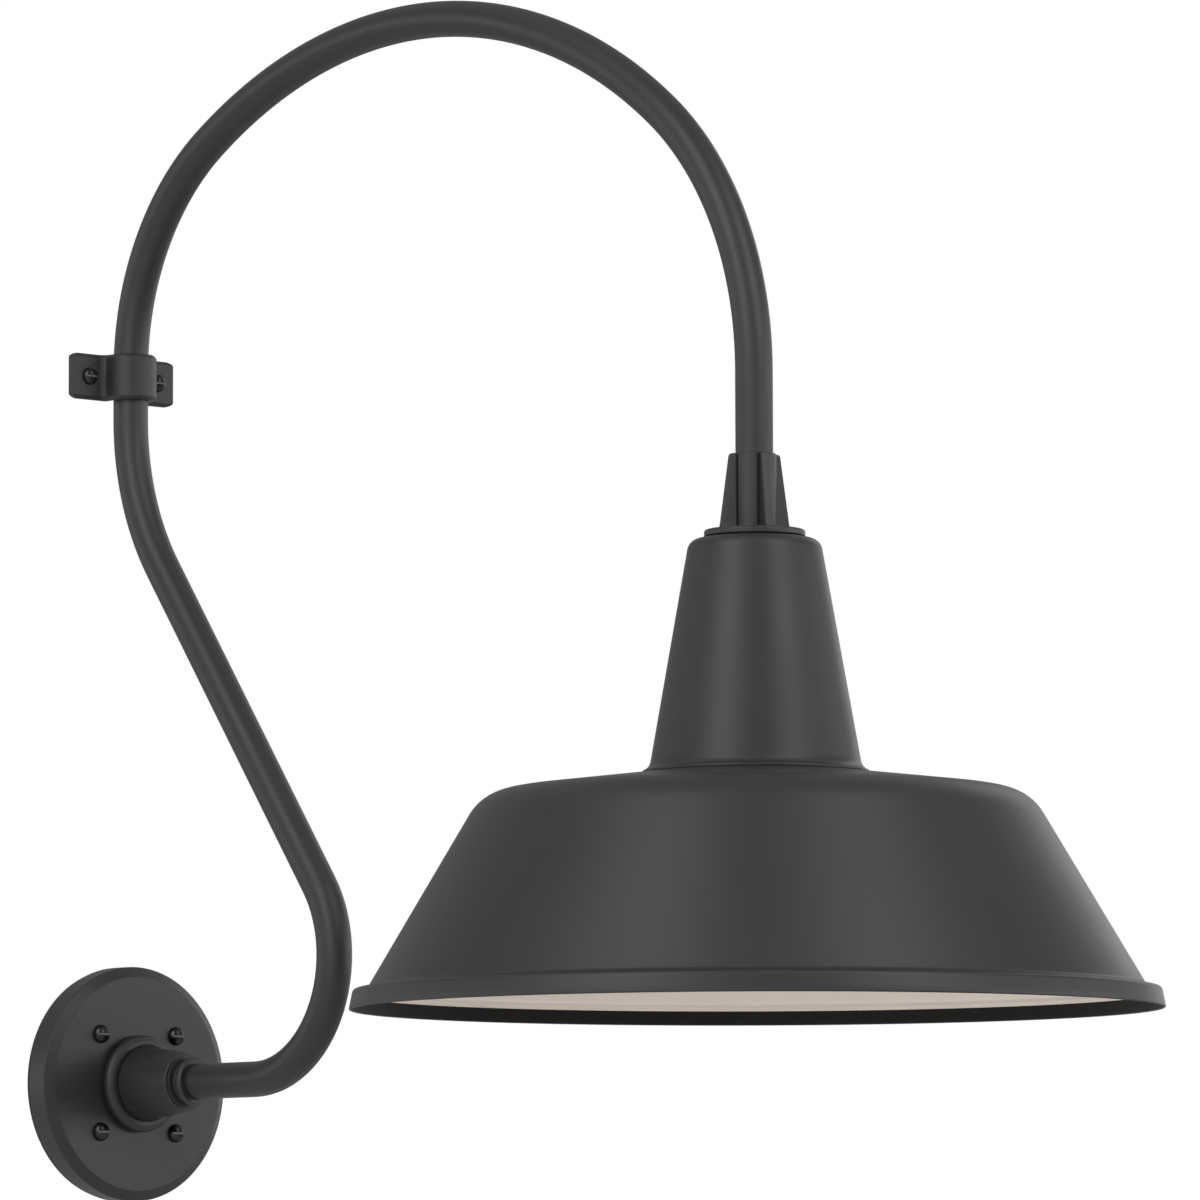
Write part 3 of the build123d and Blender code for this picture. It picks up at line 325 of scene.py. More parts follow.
def rounded_line(corners, spacing=4 * MM, step=radians(8)):
    """Line through corners (u, v, radius), each replaced by an arc; a corner (u, v) stays sharp.

    A corner of radius r that turns by t is cut back by r * tan(t / 2) on both sides, and the arc's
    points are the weighted mean of its two ends about its centre, with weights sin((1 - s) t) and sin(s t).
    """
    places = np.array([corner[:2] for corner in corners])
    at, parts = places[0], [places[:1]]
    for before, point, after, corner in zip(places, places[1:], places[2:], corners[1:]):
        radius = corner[2] if len(corner) > 2 else 0.0
        back, ahead = unit(before - point), unit(after - point)
        turn = pi - acos(np.clip(back @ ahead, -1.0, 1.0))
        cut = radius * tan(turn / 2)
        start, end = point + back * cut, point + ahead * cut
        parts.append(straight(at, start, spacing))
        if radius * turn > WELD:
            centre = point + unit(back + ahead) * radius / cos(turn / 2)
            part = np.linspace(0.0, 1.0, max(2, ceil(turn / step)) + 1)[1:, None]
            bow = np.sin((1 - part) * turn) * (start - centre) + np.sin(part * turn) * (end - centre)
            parts.append(centre + bow / sin(turn))
        at = end
    parts.append(straight(at, places[-1], spacing))
    return np.concatenate(parts)


def along_and_inward(line):
    """Unit steps along a line, and the same turned inwards by a quarter turn."""
    run = unit(np.gradient(line, axis=0))
    return run, grid(run[:, 1], -run[:, 0])


def sheet_section(line, thickness, seated=False):
    """Closed section of sheet metal: the line, the line moved in by the thickness, and half-round edges.

    An edge is middle + thickness / 2 * (sin t * ahead - cos t * across), for t from 0 to half a turn.
    A seated last edge is rounded above alone: end + thickness * ((1 - cos t) * across + sin t / 2 * ahead),
    for t from 0 to a quarter turn.
    """
    run, inward = along_and_inward(line)
    inner = line + thickness * inward
    turn = np.linspace(0.0, pi, EDGE_STEPS + 1)[1:-1, None]

    def edge(start, ahead, across):
        return start + thickness / 2 * (across + np.sin(turn) * ahead - np.cos(turn) * across)

    if seated:
        quarter = np.linspace(0.0, pi / 2, EDGE_STEPS + 1)[1:, None]
        round_over = (1 - np.cos(quarter)) * inward[-1] + np.sin(quarter) / 2 * run[-1]
        last_edge = line[-1] + thickness * round_over
    else:
        last_edge = edge(line[-1], run[-1], inward[-1])
    return np.concatenate([line, last_edge, inner[::-1], edge(inner[0], -run[0], -inward[0])])


def about_shade(radius, height, turn):
    """Turned about the shade's axis: x = axis + r cos t, y = r sin t, z = height."""
    return grid(SHADE_X + radius * np.cos(turn), radius * np.sin(turn), height)


def about_hub(reach, radius, turn):
    """Turned about the hub's axis: x = reach, y = r cos t, z = r sin t."""
    return grid(reach, radius * np.cos(turn), radius * np.sin(turn))


def turned(about, profile, sides=112):
    """Rings of a profile turned about one of the two axes."""
    return about(profile[:, :1], profile[:, 1:], full_turn(sides))


def grid_faces(rows, sides, joined):
    """Quads between neighbouring rings that close on themselves; joined links the last ring to the first."""
    row, side = np.meshgrid(np.arange(rows if joined else rows - 1), np.arange(sides), indexing="ij")
    here, there, beside = row * sides, (row + 1) % rows * sides, (side + 1) % sides
    return grid(here + side, here + beside, there + beside, there + side).reshape(-1, 4)


def weld(mesh):
    """Merges the points of poles and seams, and turns every face outwards."""
    shape = bmesh.new()
    shape.from_mesh(mesh)
    bmesh.ops.remove_doubles(shape, verts=shape.verts, dist=WELD)
    loose = [edge for edge in shape.edges if not edge.link_faces]
    bmesh.ops.delete(shape, geom=loose, context="EDGES")
    bmesh.ops.recalc_face_normals(shape, faces=shape.faces)
    shape.to_mesh(mesh)
    shape.free()


def add_object(name, data):
    """A new object in the scene."""
    made = bpy.data.objects.new(name, data)
    bpy.context.scene.collection.objects.link(made)
    return made


def surface(name, shells, ends="joined", kinds=None):
    """An object made of shells, each an array of rings (ring, point, 3).

    A shell's last ring is joined to its first, or both are poles that close the shell, or each is capped
    with one face. kinds numbers the material of the faces between each ring of a lone shell and the next.
    """
    points, faces, count = [], [], 0
    for rings in shells:
        rows, sides = rings.shape[:2]
        faces += (grid_faces(rows, sides, ends == "joined") + count).tolist()
        if ends == "capped":
            ring = np.arange(sides) + count
            faces += [ring[::-1].tolist(), (ring + (rows - 1) * sides).tolist()]
        points.append(rings.reshape(-1, 3))
        count += rows * sides
    mesh = bpy.data.meshes.new(name)
    mesh.from_pydata(np.concatenate(points).tolist(), [], faces)
    if kinds is not None:
        mesh.polygons.foreach_set("material_index", np.repeat(kinds, sides).astype(np.int32))
    weld(mesh)
    return add_object(name, mesh)


def rod(start, end, radius):
    """Closed rod: rings of radius 0, r, r, 0 along a straight axis."""
    start, end = Vector(start), Vector(end)
    axis = (end - start).normalized()
    across = axis.orthogonal().normalized()
    turn = full_turn(sides=24)[:, None]
    circle = np.cos(turn) * np.array(across) + np.sin(turn) * np.array(axis.cross(across))
    reach = np.array([0.0, radius, radius, 0.0])[:, None, None]
    return np.array([start, start, end, end])[:, None] + reach * circle


def drill(piece, rings):
    """Cuts a closed shell out of a piece."""
    cutter = surface(piece.name + "_cutter", [rings], ends="poles")
    cut = piece.modifiers.new("hole", "BOOLEAN")
    cut.operation, cut.object, cut.solver = "DIFFERENCE", cutter, "EXACT"
    drilled = piece.evaluated_get(bpy.context.evaluated_depsgraph_get())
    mesh = bpy.data.meshes.new_from_object(drilled)
    piece.modifiers.clear()
    piece.data = mesh
    bpy.data.objects.remove(cutter)


def build(name, shells, node, slot, *coats, hole=None, **shape):
    """Makes a surface, drills and paints it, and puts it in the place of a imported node."""
    piece = surface(name, shells, **shape)
    if hole is not None:
        drill(piece, hole)
    for paint in coats:
        piece.data.materials.append(paints[paint])
    piece.data.shade_smooth()
    piece.data.set_sharp_from_angle(angle=SHARP)
    body = next(name for name, nodes in frame["record"]["behaviour"]["bodies"].items() if node in nodes)
    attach(piece, body)
    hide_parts(node)


def coat(paint, *nodes):
    """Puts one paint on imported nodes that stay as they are."""
    for node in nodes:
        materials = frame["nodes"][node].data.materials
        materials.clear()
        materials.append(paints[paint])


# Paints

class Value:
    """A number in a shader tree; arithmetic on it adds Math nodes."""

    def __init__(self, paint, socket):
        self.paint, self.socket = paint, socket

    def maths(self, operation, first, second):
        return self.paint.node("ShaderNodeMath", {"operation": operation}, {0: first, 1: second})

    def __add__(self, other):
        return self.maths("ADD", self, other)

    def __radd__(self, other):
        return self.maths("ADD", other, self)

    def __sub__(self, other):
        return self.maths("SUBTRACT", self, other)

    def __rsub__(self, other):
        return self.maths("SUBTRACT", other, self)

    def __mul__(self, other):
        return self.maths("MULTIPLY", self, other)

    def __rmul__(self, other):
        return self.maths("MULTIPLY", other, self)

    def __truediv__(self, other):
        return self.maths("DIVIDE", self, other)

    def __pow__(self, other):
        return self.maths("POWER", self, other)


class Paint:
    """A material or world whose nodes are written as expressions."""

    def __init__(self, owner):
        owner.use_nodes = True
        self.owner, self.tree = owner, owner.node_tree
        self.tree.nodes.clear()

    def node(self, kind, settings=None, sockets=None, output=0):
        """Adds a node: its settings first, then the values or links of its sockets; gives one output."""
        made = self.tree.nodes.new(kind)
        for key, value in (settings or {}).items():
            setattr(made, key, value)
        for key, value in (sockets or {}).items():
            if isinstance(value, Value):
                self.tree.links.new(value.socket, made.inputs[key])
            else:
                made.inputs[key].default_value = value
        return Value(self, made.outputs[output]) if made.outputs else None

    def place(self, stretch=(1.0, 1.0, 1.0), centre=(0.0, 0.0, 0.0)):
        """Object coordinates, taken from a centre and stretched."""
        spot = self.node("ShaderNodeTexCoord", output="Object")
        moved = tuple(-part * factor for part, factor in zip(centre, stretch))
        return self.node("ShaderNodeMapping", {}, {"Vector": spot, "Scale": stretch, "Location": moved})

    def noise(self, spot, size, detail=2.0):
        """Noise from 0 to 1 with features of a size in metres."""
        sockets = {"Vector": spot, "Scale": 1 / size, "Detail": detail, "Roughness": 0.5}
        return self.node("ShaderNodeTexNoise", {}, sockets)

    def tone(self, factor, tint, first, second):
        """A tint whose strength goes from the first to the second with the factor."""
        start, end = ((*(part * strength for part in tint), 1.0) for strength in (first, second))
        return self.node("ShaderNodeMix", {"data_type": "RGBA"}, {0: factor, 6: start, 7: end}, output=2)

    def bump(self, height, depth):
        """Normal of a relief of that depth in metres."""
        return self.node("ShaderNodeBump", {}, {"Height": height, "Distance": depth, "Strength": 1.0})

    def finish(self, **sockets):
        """Ends the material with one principled surface; sockets are named with underscores."""
        named = {key.replace("_", " "): value for key, value in sockets.items()}
        shader = self.node("ShaderNodeBsdfPrincipled", {}, named)
        self.node("ShaderNodeOutputMaterial", {}, {"Surface": shader})
        return self.owner


def new_paint(name):
    """An empty material."""
    return Paint(bpy.data.materials.new(name))


def powder_coat(name, tint, roughness, peel, depth):
    """Satin powder coat: a fine orange-peel skin over broad, faint changes of tone and gloss."""
    paint = new_paint(name)
    spot = paint.place()
    broad = paint.noise(spot, 60 * MM, detail=3.0)
    fine = paint.noise(spot, peel, detail=1.0)
    speck = paint.noise(spot, peel * 0.35, detail=0.0)
    tone = paint.tone(broad * 0.7 + speck * 0.3, tint, 0.82, 1.2)
    gloss = roughness + (broad - 0.5) * 0.1 + (fine - 0.5) * 0.08
    return paint.finish(Base_Color=tone, Roughness=gloss, Normal=paint.bump(fine + speck * 0.35, depth))


def matt_lip(tint):
    """Black paint on the inner lip with painted shade: its colour is darker than the coat, as shade falls there,
    and it is duller, with a fine grain.
    """
    paint = new_paint("matt_lip")
    grain = paint.noise(paint.place(), 0.7 * MM)
    return paint.finish(
        # Painted shade: the lip's colour is taken down to a third to a half of the coat's.
        Base_Color=paint.tone(grain, tint, 0.3, 0.5), Roughness=0.62 + (grain - 0.5) * 0.12,
        Specular_IOR_Level=0.25, Normal=paint.bump(grain, 0.03 * MM),
    )


def warm_enamel(tint):
    """Warm white paint inside the shade, with faint rings from spinning and a little dust."""
    paint = new_paint("warm_enamel")
    spot = paint.place(centre=(SHADE_X, 0.0, 0.0))
    sockets = {"Vector": spot, "Scale": 60.0, "Distortion": 0.4, "Detail": 1.0, "Detail Scale": 2.0}
    settings = {"wave_type": "RINGS", "rings_direction": "Z"}
    rings = paint.node("ShaderNodeTexWave", settings, sockets, output="Fac")
    broad = paint.noise(spot, 45 * MM, detail=3.0)
    fine = paint.noise(spot, 0.9 * MM, detail=1.0)
    return paint.finish(
        Base_Color=paint.tone(broad, tint, 0.93, 1.04), Roughness=0.42 + (broad - 0.5) * 0.12,
        Normal=paint.bump(rings * 0.5 + fine * 0.5, 0.02 * MM),
    )


def metal(name, tint, roughness, grain, stretch=(1.0, 1.0, 1.0)):
    """Bare or plated metal: drawn grain, patches of dulling and fine scratches."""
    paint = new_paint(name)
    lines = paint.noise(paint.place(stretch), grain)
    patch = paint.noise(paint.place(), 7 * MM, detail=3.0)
    return paint.finish(
        Base_Color=paint.tone(patch, tint, 0.78, 1.1), Metallic=1.0,
        Roughness=roughness + (patch - 0.5) * 0.18 + (lines - 0.5) * 0.12,
        Normal=paint.bump(lines, 0.006 * MM),
    )


def moulding(name, tint, roughness, grain, depth=0.01 * MM):
    """Moulded plastic, rubber or glazed ware: a faint skin and slight changes of tone."""
    paint = new_paint(name)
    spot = paint.place()
    broad = paint.noise(spot, 12 * MM, detail=3.0)
    fine = paint.noise(spot, grain)
    tone = paint.tone(broad, tint, 0.88, 1.08)
    gloss = roughness + (fine - 0.5) * 0.14
    return paint.finish(Base_Color=tone, Roughness=gloss, Normal=paint.bump(fine, depth))


def clear_glass(name):
    """Clear glass with faint waves."""
    paint = new_paint(name)
    waves = paint.noise(paint.place(), 18 * MM, detail=1.0)
    return paint.finish(
        Base_Color=(0.97, 0.98, 0.975, 1.0), Roughness=waves * 0.02, IOR=1.47,
        Transmission_Weight=1.0, Normal=paint.bump(waves, 0.02 * MM),
    )


def phosphor_coat(tint):
    """Granular phosphor on the filament sticks, with a faint glow."""
    paint = new_paint("phosphor")
    grain = paint.noise(paint.place(), 0.35 * MM)
    tone = paint.tone(grain, tint, 0.75, 1.1)
    return paint.finish(
        Base_Color=tone, Roughness=0.6, Emission_Color=tone, Emission_Strength=0.15,
        Normal=paint.bump(grain, 0.05 * MM),
    )


def studio_floor(tint, right):
    """Pale floor with painted shade: darker towards the camera's right, so it throws less light up from there;
    clear from below.
    """
    paint = new_paint("studio_floor")
    product = {"operation": "DOT_PRODUCT"}
    across = paint.node("ShaderNodeVectorMath", product, {0: paint.place(), 1: right}, output="Value")
    # Painted shade: the floor's colour falls to 0.6 of its tint towards the camera's right.
    slope = paint.node("ShaderNodeMapRange", {}, {"Value": across, "From Min": -0.6, "From Max": 1.2})
    broad = paint.noise(paint.place(), 0.9, detail=1.0)
    tone = paint.tone(slope * 0.9 + broad * 0.1, tint, 1.0, 0.6)
    matt = paint.node("ShaderNodeBsdfDiffuse", {}, {"Color": tone})
    clear = paint.node("ShaderNodeBsdfTransparent")
    below = paint.node("ShaderNodeNewGeometry", output="Backfacing")
    both = paint.node("ShaderNodeMixShader", {}, {0: below, 1: matt, 2: clear})
    paint.node("ShaderNodeOutputMaterial", {}, {"Surface": both})
    return paint.owner


def make_paints(finishes):
    """Every material of the light, by name."""
    charcoal = finishes.charcoal
    return {
        "arm": powder_coat("arm_powder", charcoal, 0.48, 1.1 * MM, 0.014 * MM),
        "cast": powder_coat("cast_powder", charcoal, 0.52, 1.3 * MM, 0.05 * MM),
        "shade": powder_coat("shade_powder", charcoal, 0.48, 1.1 * MM, 0.013 * MM),
        # The inner lip: black paint with painted shade.
        "lip": matt_lip(charcoal),
        "enamel": warm_enamel(finishes.enamel),
        "screw": metal("blackened_screw", finishes.blackened, 0.3, 0.5 * MM),
        "zinc": metal("zinc_plate", finishes.zinc, 0.38, 0.4 * MM),
        "brass": metal("brass", finishes.brass, 0.3, 0.5 * MM, stretch=(1.0, 1.0, 8.0)),
        "nickel": metal("nickel", finishes.nickel, 0.28, 0.4 * MM, stretch=(1.0, 1.0, 6.0)),
        "rubber": moulding("gasket_rubber", finishes.rubber, 0.8, 0.5 * MM, 0.05 * MM),
        "sheath": moulding("cable_sheath", (0.03, 0.03, 0.031), 0.55, 0.6 * MM),
        "black_core": moulding("black_core", (0.02, 0.02, 0.02), 0.4, 0.4 * MM),
        "white_core": moulding("white_core", (0.75, 0.74, 0.70), 0.4, 0.4 * MM),
        "green_core": moulding("green_core", (0.03, 0.22, 0.07), 0.4, 0.4 * MM),
        "block": moulding("block_plastic", (0.55, 0.54, 0.50), 0.45, 0.5 * MM),
        "porcelain": moulding("porcelain", finishes.porcelain, 0.16, 2.5 * MM, 0.02 * MM),
        "dark_glass": moulding("cap_glass", (0.012, 0.012, 0.016), 0.12, 1.5 * MM),
        "glass": clear_glass("bulb_glass"),
        "phosphor": phosphor_coat(finishes.phosphor),
    }


paints = {}


# Pieces

def arm_line(sizes):
    """Centreline of the tube (x, z) and its heading, from the hub to the collar.

    A straight run keeps its heading h. On a bend of signed radius r that starts at heading g, a point
    is start + r * (sin h - sin g, cos g - cos h) as h goes from g to g + turn.
    """
    start_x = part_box("arm_tube")[0].x
    end_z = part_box("finned_collar")[1].z - sizes.seat
    lean = sizes.lower_turn - pi / 2
    strap_x = sizes.radius + sizes.wall_gap
    lower_end_x = sizes.lower_run + sizes.lower_bend * sin(sizes.lower_turn)
    diagonal = (lower_end_x - sizes.reverse_bend * (1 - cos(lean)) - strap_x) / sin(lean)
    stretches = (
        (sizes.lower_run - start_x, 0.0), (sizes.lower_bend, sizes.lower_turn), (diagonal, 0.0),
        (sizes.reverse_bend, -lean), (sizes.strap_run, 0.0), (sizes.wall_arch, -sizes.wall_turn),
        (sizes.crown, -sizes.crown_turn), (sizes.drop_arch, sizes.wall_turn + sizes.crown_turn - pi),
    )
    at, heading = np.array([start_x, 0.0]), 0.0
    points, headings = [at[None]], [np.array([heading])]
    for size, turn in stretches:
        if turn:
            part = np.linspace(0.0, 1.0, ceil(abs(turn) * size / BEND_STEP) + 1)[1:]
            way = heading + part * turn
            bow = grid(np.sin(way) - sin(heading), cos(heading) - np.cos(way))
            points.append(at + (size if turn > 0 else -size) * bow)
        else:
            points.append(straight(at, at + size * np.array([cos(heading), sin(heading)]), RUN_STEP))
            way = np.full(len(points[-1]), heading)
        headings.append(way)
        at, heading = points[-1][-1], way[-1]
    points.append(straight(at, np.array([at[0], end_z]), RUN_STEP))
    headings.append(np.full(len(points[-1]), heading))
    return np.concatenate(points), np.concatenate(headings)


def tube_rings(line, heading, radius):
    """Rings square to the heading h: x = line - r cos t sin h, y = r sin t, z = line + r cos t cos h."""
    turn, heading = full_turn(sides=56), heading[:, None]
    across = radius * np.cos(turn)
    x, z = line.T[..., None]
    return grid(x - across * np.sin(heading), radius * np.sin(turn), z + across * np.cos(heading))


class BARN_OT_arm(Operator):
    """Bends the tube of the arm"""

    bl_idname = "barn.arm"
    bl_label = "Arm"

    def execute(self, context):
        sizes = context.scene.barn_arm
        line, heading = arm_line(sizes)
        outer = tube_rings(line, heading, sizes.radius)
        inner = tube_rings(line, heading, sizes.radius - sizes.wall)
        build("bent_tube", [np.concatenate([outer, inner[::-1]])], "arm_tube", "arm_paint", "arm")
        return {"FINISHED"}


def wall_plate(sizes):
    """Profile: hollow, back edge, side, bevel, face and hole; turned about the hub's axis."""
    back, front = span("wall_plate", "x")
    edge, hole = sizes.radius, sizes.spigot_radius
    inside, hollow = front - sizes.face, edge - sizes.wall
    profile = rounded_line([
        (inside, hole), (inside, hollow, 2 * MM), (back, hollow, SOFT), (back, edge, SOFT),
        (front - sizes.bevel_axial, edge, sizes.edge_round),
        (front, edge - sizes.bevel_radial, sizes.face_round), (front, hole), (inside, hole),
    ], spacing=2.5 * MM)
    rings = turned(about_hub, profile[:-1], sides=180)
    build("plate_casting", [rings], "wall_plate", "arm_paint", "arm")


def hub(sizes, tube_radius):
    """Profile: base ring of circular section, tapering body, rounded nose, bore, spigot."""
    tail, nose = span("hub", "x")
    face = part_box("wall_plate")[1].x
    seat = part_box("arm_tube")[0].x - FINE
    foot = acos(-sizes.ring_lift / sizes.ring_section)
    waist = asin((sizes.body_radius - sizes.ring_radius) / sizes.ring_section)
    ring = arc((face + sizes.ring_lift, sizes.ring_radius), sizes.ring_section, foot, waist, count=22)
    bore, wire, spigot = tube_radius + CLEARANCE, sizes.wire_radius, sizes.spigot_radius
    body = rounded_line([
        ring[-1], (nose, sizes.nose_radius, sizes.nose_round), (nose, bore, FINE), (seat, bore), (seat, wire),
        (tail, wire, FINE), (tail, spigot, 0.4 * MM), (face, spigot), ring[0],
    ], spacing=2 * MM)
    low, high = span("hub_set_screw", "x")
    x, reach = (low + high) / 2, (high - low) / 2 + CLEARANCE
    hole = rod((x, 0.0, -tube_radius), (x, 0.0, -sizes.radius), reach)
    rings = turned(about_hub, np.concatenate([ring, body[1:-1]]))
    build("hub_turning", [rings], "hub", "arm_paint", "arm", hole=hole)


def ferrule(sizes, bore):
    """Profile: a shoulder, a groove with a rounded bottom, then a bead of circular section."""
    start, end = span("hub_ferrule", "x")
    half, rise = sizes.ferrule_bead / 2, sizes.ferrule_rise
    bead, bow = end - sizes.ferrule_bead, (half**2 + rise**2) / (2 * rise)
    spread = asin(half / bow)
    top = (bead + half, sizes.ferrule_waist + rise - bow)
    crest = arc(top, bow, pi / 2 + spread, pi / 2 - spread, count=14)
    edge, groove = sizes.ferrule_radius, sizes.ferrule_groove
    profile = rounded_line([
        (end, bore), (start, bore), (start, edge), (start + 0.8 * MM, edge, 0.4 * MM),
        (start + 1.2 * MM, groove, 0.8 * MM), (bead, groove, 0.4 * MM), (bead, sizes.ferrule_waist),
    ], spacing=1.2 * MM)
    rings = turned(about_hub, np.concatenate([profile[:-1], crest]))
    build("ferrule_ring", [rings], "hub_ferrule", "arm_paint", "arm")


class BARN_OT_plate(Operator):
    """Turns the wall plate, the hub and the ferrule"""

    bl_idname = "barn.plate"
    bl_label = "Wall plate and hub"

    def execute(self, context):
        sizes, tube_radius = context.scene.barn_plate, context.scene.barn_arm.radius
        wall_plate(sizes)
        hub(sizes, tube_radius)
        ferrule(sizes, tube_radius + 2 * CLEARANCE)
        return {"FINISHED"}


def strap_side(sizes, back, high, inset):
    """Half of the section (x, y), from the flange's end to the crown: the outer line moved in by
    the inset, made of an edge, a flat, a fillet, a leg and a quarter circle, and the inner line's
    points that face it."""
    flat, reach = back + sizes.thickness - inset, high.y - inset
    largest, least = 0.8 * MM, 0.1 * MM
    edge = max(largest - inset, least)
    radius, fillet = sizes.outer - inset, sizes.fillet + inset
    middle = high.x - sizes.outer
    tip = arc((flat - edge, reach - edge), edge, pi / 2, 0.0, count=6)
    level = np.linspace(reach - edge, radius + fillet, 12)[1:-1]
    root = arc((flat + fillet, radius + fillet), fillet, pi, 1.5 * pi, count=9)
    saddle, bore = (arc((middle, 0.0), size, pi / 2, 0.0, count=22) for size in (radius, sizes.inner))
    outer = np.concatenate([[(back, reach)], tip, grid(flat, level), root[[0, 0]], root, saddle])
    tail = np.tile((back, reach), (len(tip) + 1, 1))
    corner = [(back, radius + fillet), (back, sizes.inner)]
    leg = grid(np.linspace(back, middle, len(root) + 1)[:-1], sizes.inner)
    return outer, np.concatenate([tail, grid(back, level), corner, leg, bore])


class BARN_OT_strap(Operator):
    """Casts the strap that holds the tube to the wall"""

    bl_idname = "barn.strap"
    bl_label = "Wall strap"

    def execute(self, context):
        """Closed loops up the outer line and down the inner one, from one flange's end to the other's.

        Towards the upper and lower face the outer line moves in by the bevel, and the flange ends
        draw in along a quarter circle of the corner's radius.
        """
        sizes = context.scene.barn_strap
        low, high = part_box("wall_strap")
        half, middle = (high.z - low.z) / 2, (high.z + low.z) / 2
        bevel = sizes.bevel
        side = rounded_line([
            (0.0, 0.0), (half - bevel, 0.0, 1.2 * MM), (half, bevel, SOFT), (half, bevel + SOFT),
        ], spacing=0.8 * MM)
        height, inset = np.concatenate([side[:0:-1] * (-1, 1), side]).T
        lines = np.stack([strap_side(sizes, low.x, high, depth)[0] for depth in inset], axis=1)
        hollow = np.repeat(strap_side(sizes, low.x, high, inset[-1])[1][:, None], 2, axis=1)
        x, reach = np.moveaxis(np.concatenate([lines, hollow], axis=1), -1, 0)
        height = np.concatenate([height, [half, -half]])
        past = np.clip(np.abs(height) - (half - sizes.corner), 0.0, sizes.corner)
        drawn = sizes.corner - np.sqrt(sizes.corner**2 - past**2)
        flange = np.clip((reach - sizes.outer) / (high.y - sizes.outer), 0.0, 1.0)
        left = grid(x, reach - flange * drawn, middle + height)
        rings = np.concatenate([left, left[-2::-1] * (1, -1, 1)])
        build("strap_casting", [rings], "wall_strap", "cast_paint", "cast", ends="capped")
        return {"FINISHED"}


def screw_head(radius, height, sizes):
    """Domed head with a slot along Y, as rings across z; x is measured from the seat.

    A ring runs over the dome, x = height - R + sqrt(R * R - y * y - z * z), dips to the slot's floor
    where |z| is under half its width, and comes back along the seat.
    """
    half_slot, lip = sizes.slot_width / 2, 0.12 * MM
    rim = radius * np.sin(np.linspace(0.0, pi / 2, 12))
    out = rim[rim > half_slot + 2 * lip]
    slot = np.array([0.0, half_slot - lip, half_slot, half_slot + lip])
    z = np.concatenate([-out[::-1], -slot[:0:-1], slot, out])[:, None]
    chord = np.sqrt(np.maximum(radius**2 - z**2, 0.0))
    y = chord * np.sin(np.linspace(-pi / 2, pi / 2, 25))
    rise = height - sizes.edge
    bow = (radius**2 + rise**2) / (2 * rise)
    x = height - bow + np.sqrt(bow**2 - y**2 - z**2)
    depth = np.clip((half_slot + lip - np.abs(z)) / (2 * lip), 0.0, 1.0)
    x += depth * (np.minimum(x, height - sizes.slot_depth) - x)
    seat = chord * (1, -1)
    return grid(np.hstack([x, 0 * seat]), np.hstack([y, seat]), z)


def screw_shank(plain, reach, sizes):
    """Plain shank, then a thread of triangular form down to a point, as rings along -x from the seat.

    On the thread r = root + (crest - root) * |1 - 2 p|, where p is the part of a turn of
    depth / pitch + t / (2 pi), and both radii shrink to nothing over the point.
    """
    turn, rings_a_pitch = full_turn(sides=20), 8
    thread = np.arange(plain, plain + reach, sizes.pitch / rings_a_pitch)
    phase = (thread[:, None] / sizes.pitch + turn / (2 * pi)) % 1.0
    left = np.clip((plain + reach - thread) / sizes.point, 0.0, 1.0)[:, None]
    radius = left * (sizes.root + (sizes.crest - sizes.root) * np.abs(1 - 2 * phase))
    shank = np.array([0.0, sizes.shank, sizes.shank, sizes.root])[:, None] + 0 * turn
    depth = np.concatenate([[0.0, 0.0, plain, plain], thread, [plain + reach]])
    return about_hub(-depth[:, None], np.concatenate([shank, radius, 0 * turn[None]]), turn)


def slotted_screws(node, seat, rows, radius, height, sizes):
    """One object with a head and a shank at each place on the seat, left and right in each row."""
    low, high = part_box(node)
    reach = high.y - radius
    middle, rise = (low.z + high.z) / 2, (high.z - low.z) / 2 - radius
    places = [(seat, side * reach, middle + row * rise) for row in rows for side in (-1, 1)]
    shapes = screw_head(radius, height, sizes), screw_shank(seat, -low.x, sizes)
    shells = [shape + np.array(place) for place in places for shape in shapes]
    build(node + "_slotted", shells, node, "screw_finish", "screw", ends="poles")


class BARN_OT_screws(Operator):
    """Makes the slotted screws of the plate and the strap"""

    bl_idname = "barn.screws"
    bl_label = "Screws"

    def execute(self, context):
        sizes = context.scene.barn_screws
        face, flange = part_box("wall_plate")[1].x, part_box("strap_screws")[1].x - sizes.strap_height
        slotted_screws("plate_screws", face, (-1, 1), sizes.plate_head, sizes.plate_height, sizes)
        slotted_screws("strap_screws", flange, (0,), sizes.strap_head, sizes.strap_height, sizes)
        return {"FINISHED"}


def fin_section(sizes, tall, rise, grow):
    """Outline of the sleeve and its four fins at a height above the shelf, moved out by grow.

    Up the fins the reach falls in a straight line from foot to top and ends in a quarter circle. Half a
    period, in the fin's own axes: face, quarter-round edge, side, floor of the gutter, sleeve up to
    45 degrees; it is mirrored and turned to each fin.
    """
    corner, edge = sizes.fin_corner, sizes.fin_edge
    over = max(0.0, rise - (tall - corner))
    reach = sizes.fin_foot + (sizes.fin_top - sizes.fin_foot) * rise / tall
    reach += grow - (corner - sqrt(max(corner**2 - over**2, 0.0)))
    sleeve, half = sizes.sleeve + grow, sizes.fin_thickness / 2 + grow
    floor = sleeve - sizes.gutter_depth
    near, far, lip = asin(half / floor), asin((half + sizes.gutter) / sleeve), radians(0.4)
    part = np.concatenate([
        grid(reach, np.linspace(0.0, half - edge, 4)),
        arc((reach - edge, half - edge), edge, 0.0, pi / 2, count=5)[1:],
        grid(np.linspace(reach - edge, floor * cos(near), 7)[1:-1], half),
        arc((0.0, 0.0), floor, near, far, count=5),
        arc((0.0, 0.0), sleeve, far + lip, pi / 4, count=7),
    ])
    along, across = np.concatenate([(part * (1, -1))[:0:-1], part])[1:].T
    turn = (sizes.fin_start + np.arange(4) * pi / 2)[:, None]
    x, y = along * np.cos(turn) - across * np.sin(turn), along * np.sin(turn) + across * np.cos(turn)
    return grid(x, y).reshape(-1, 2)


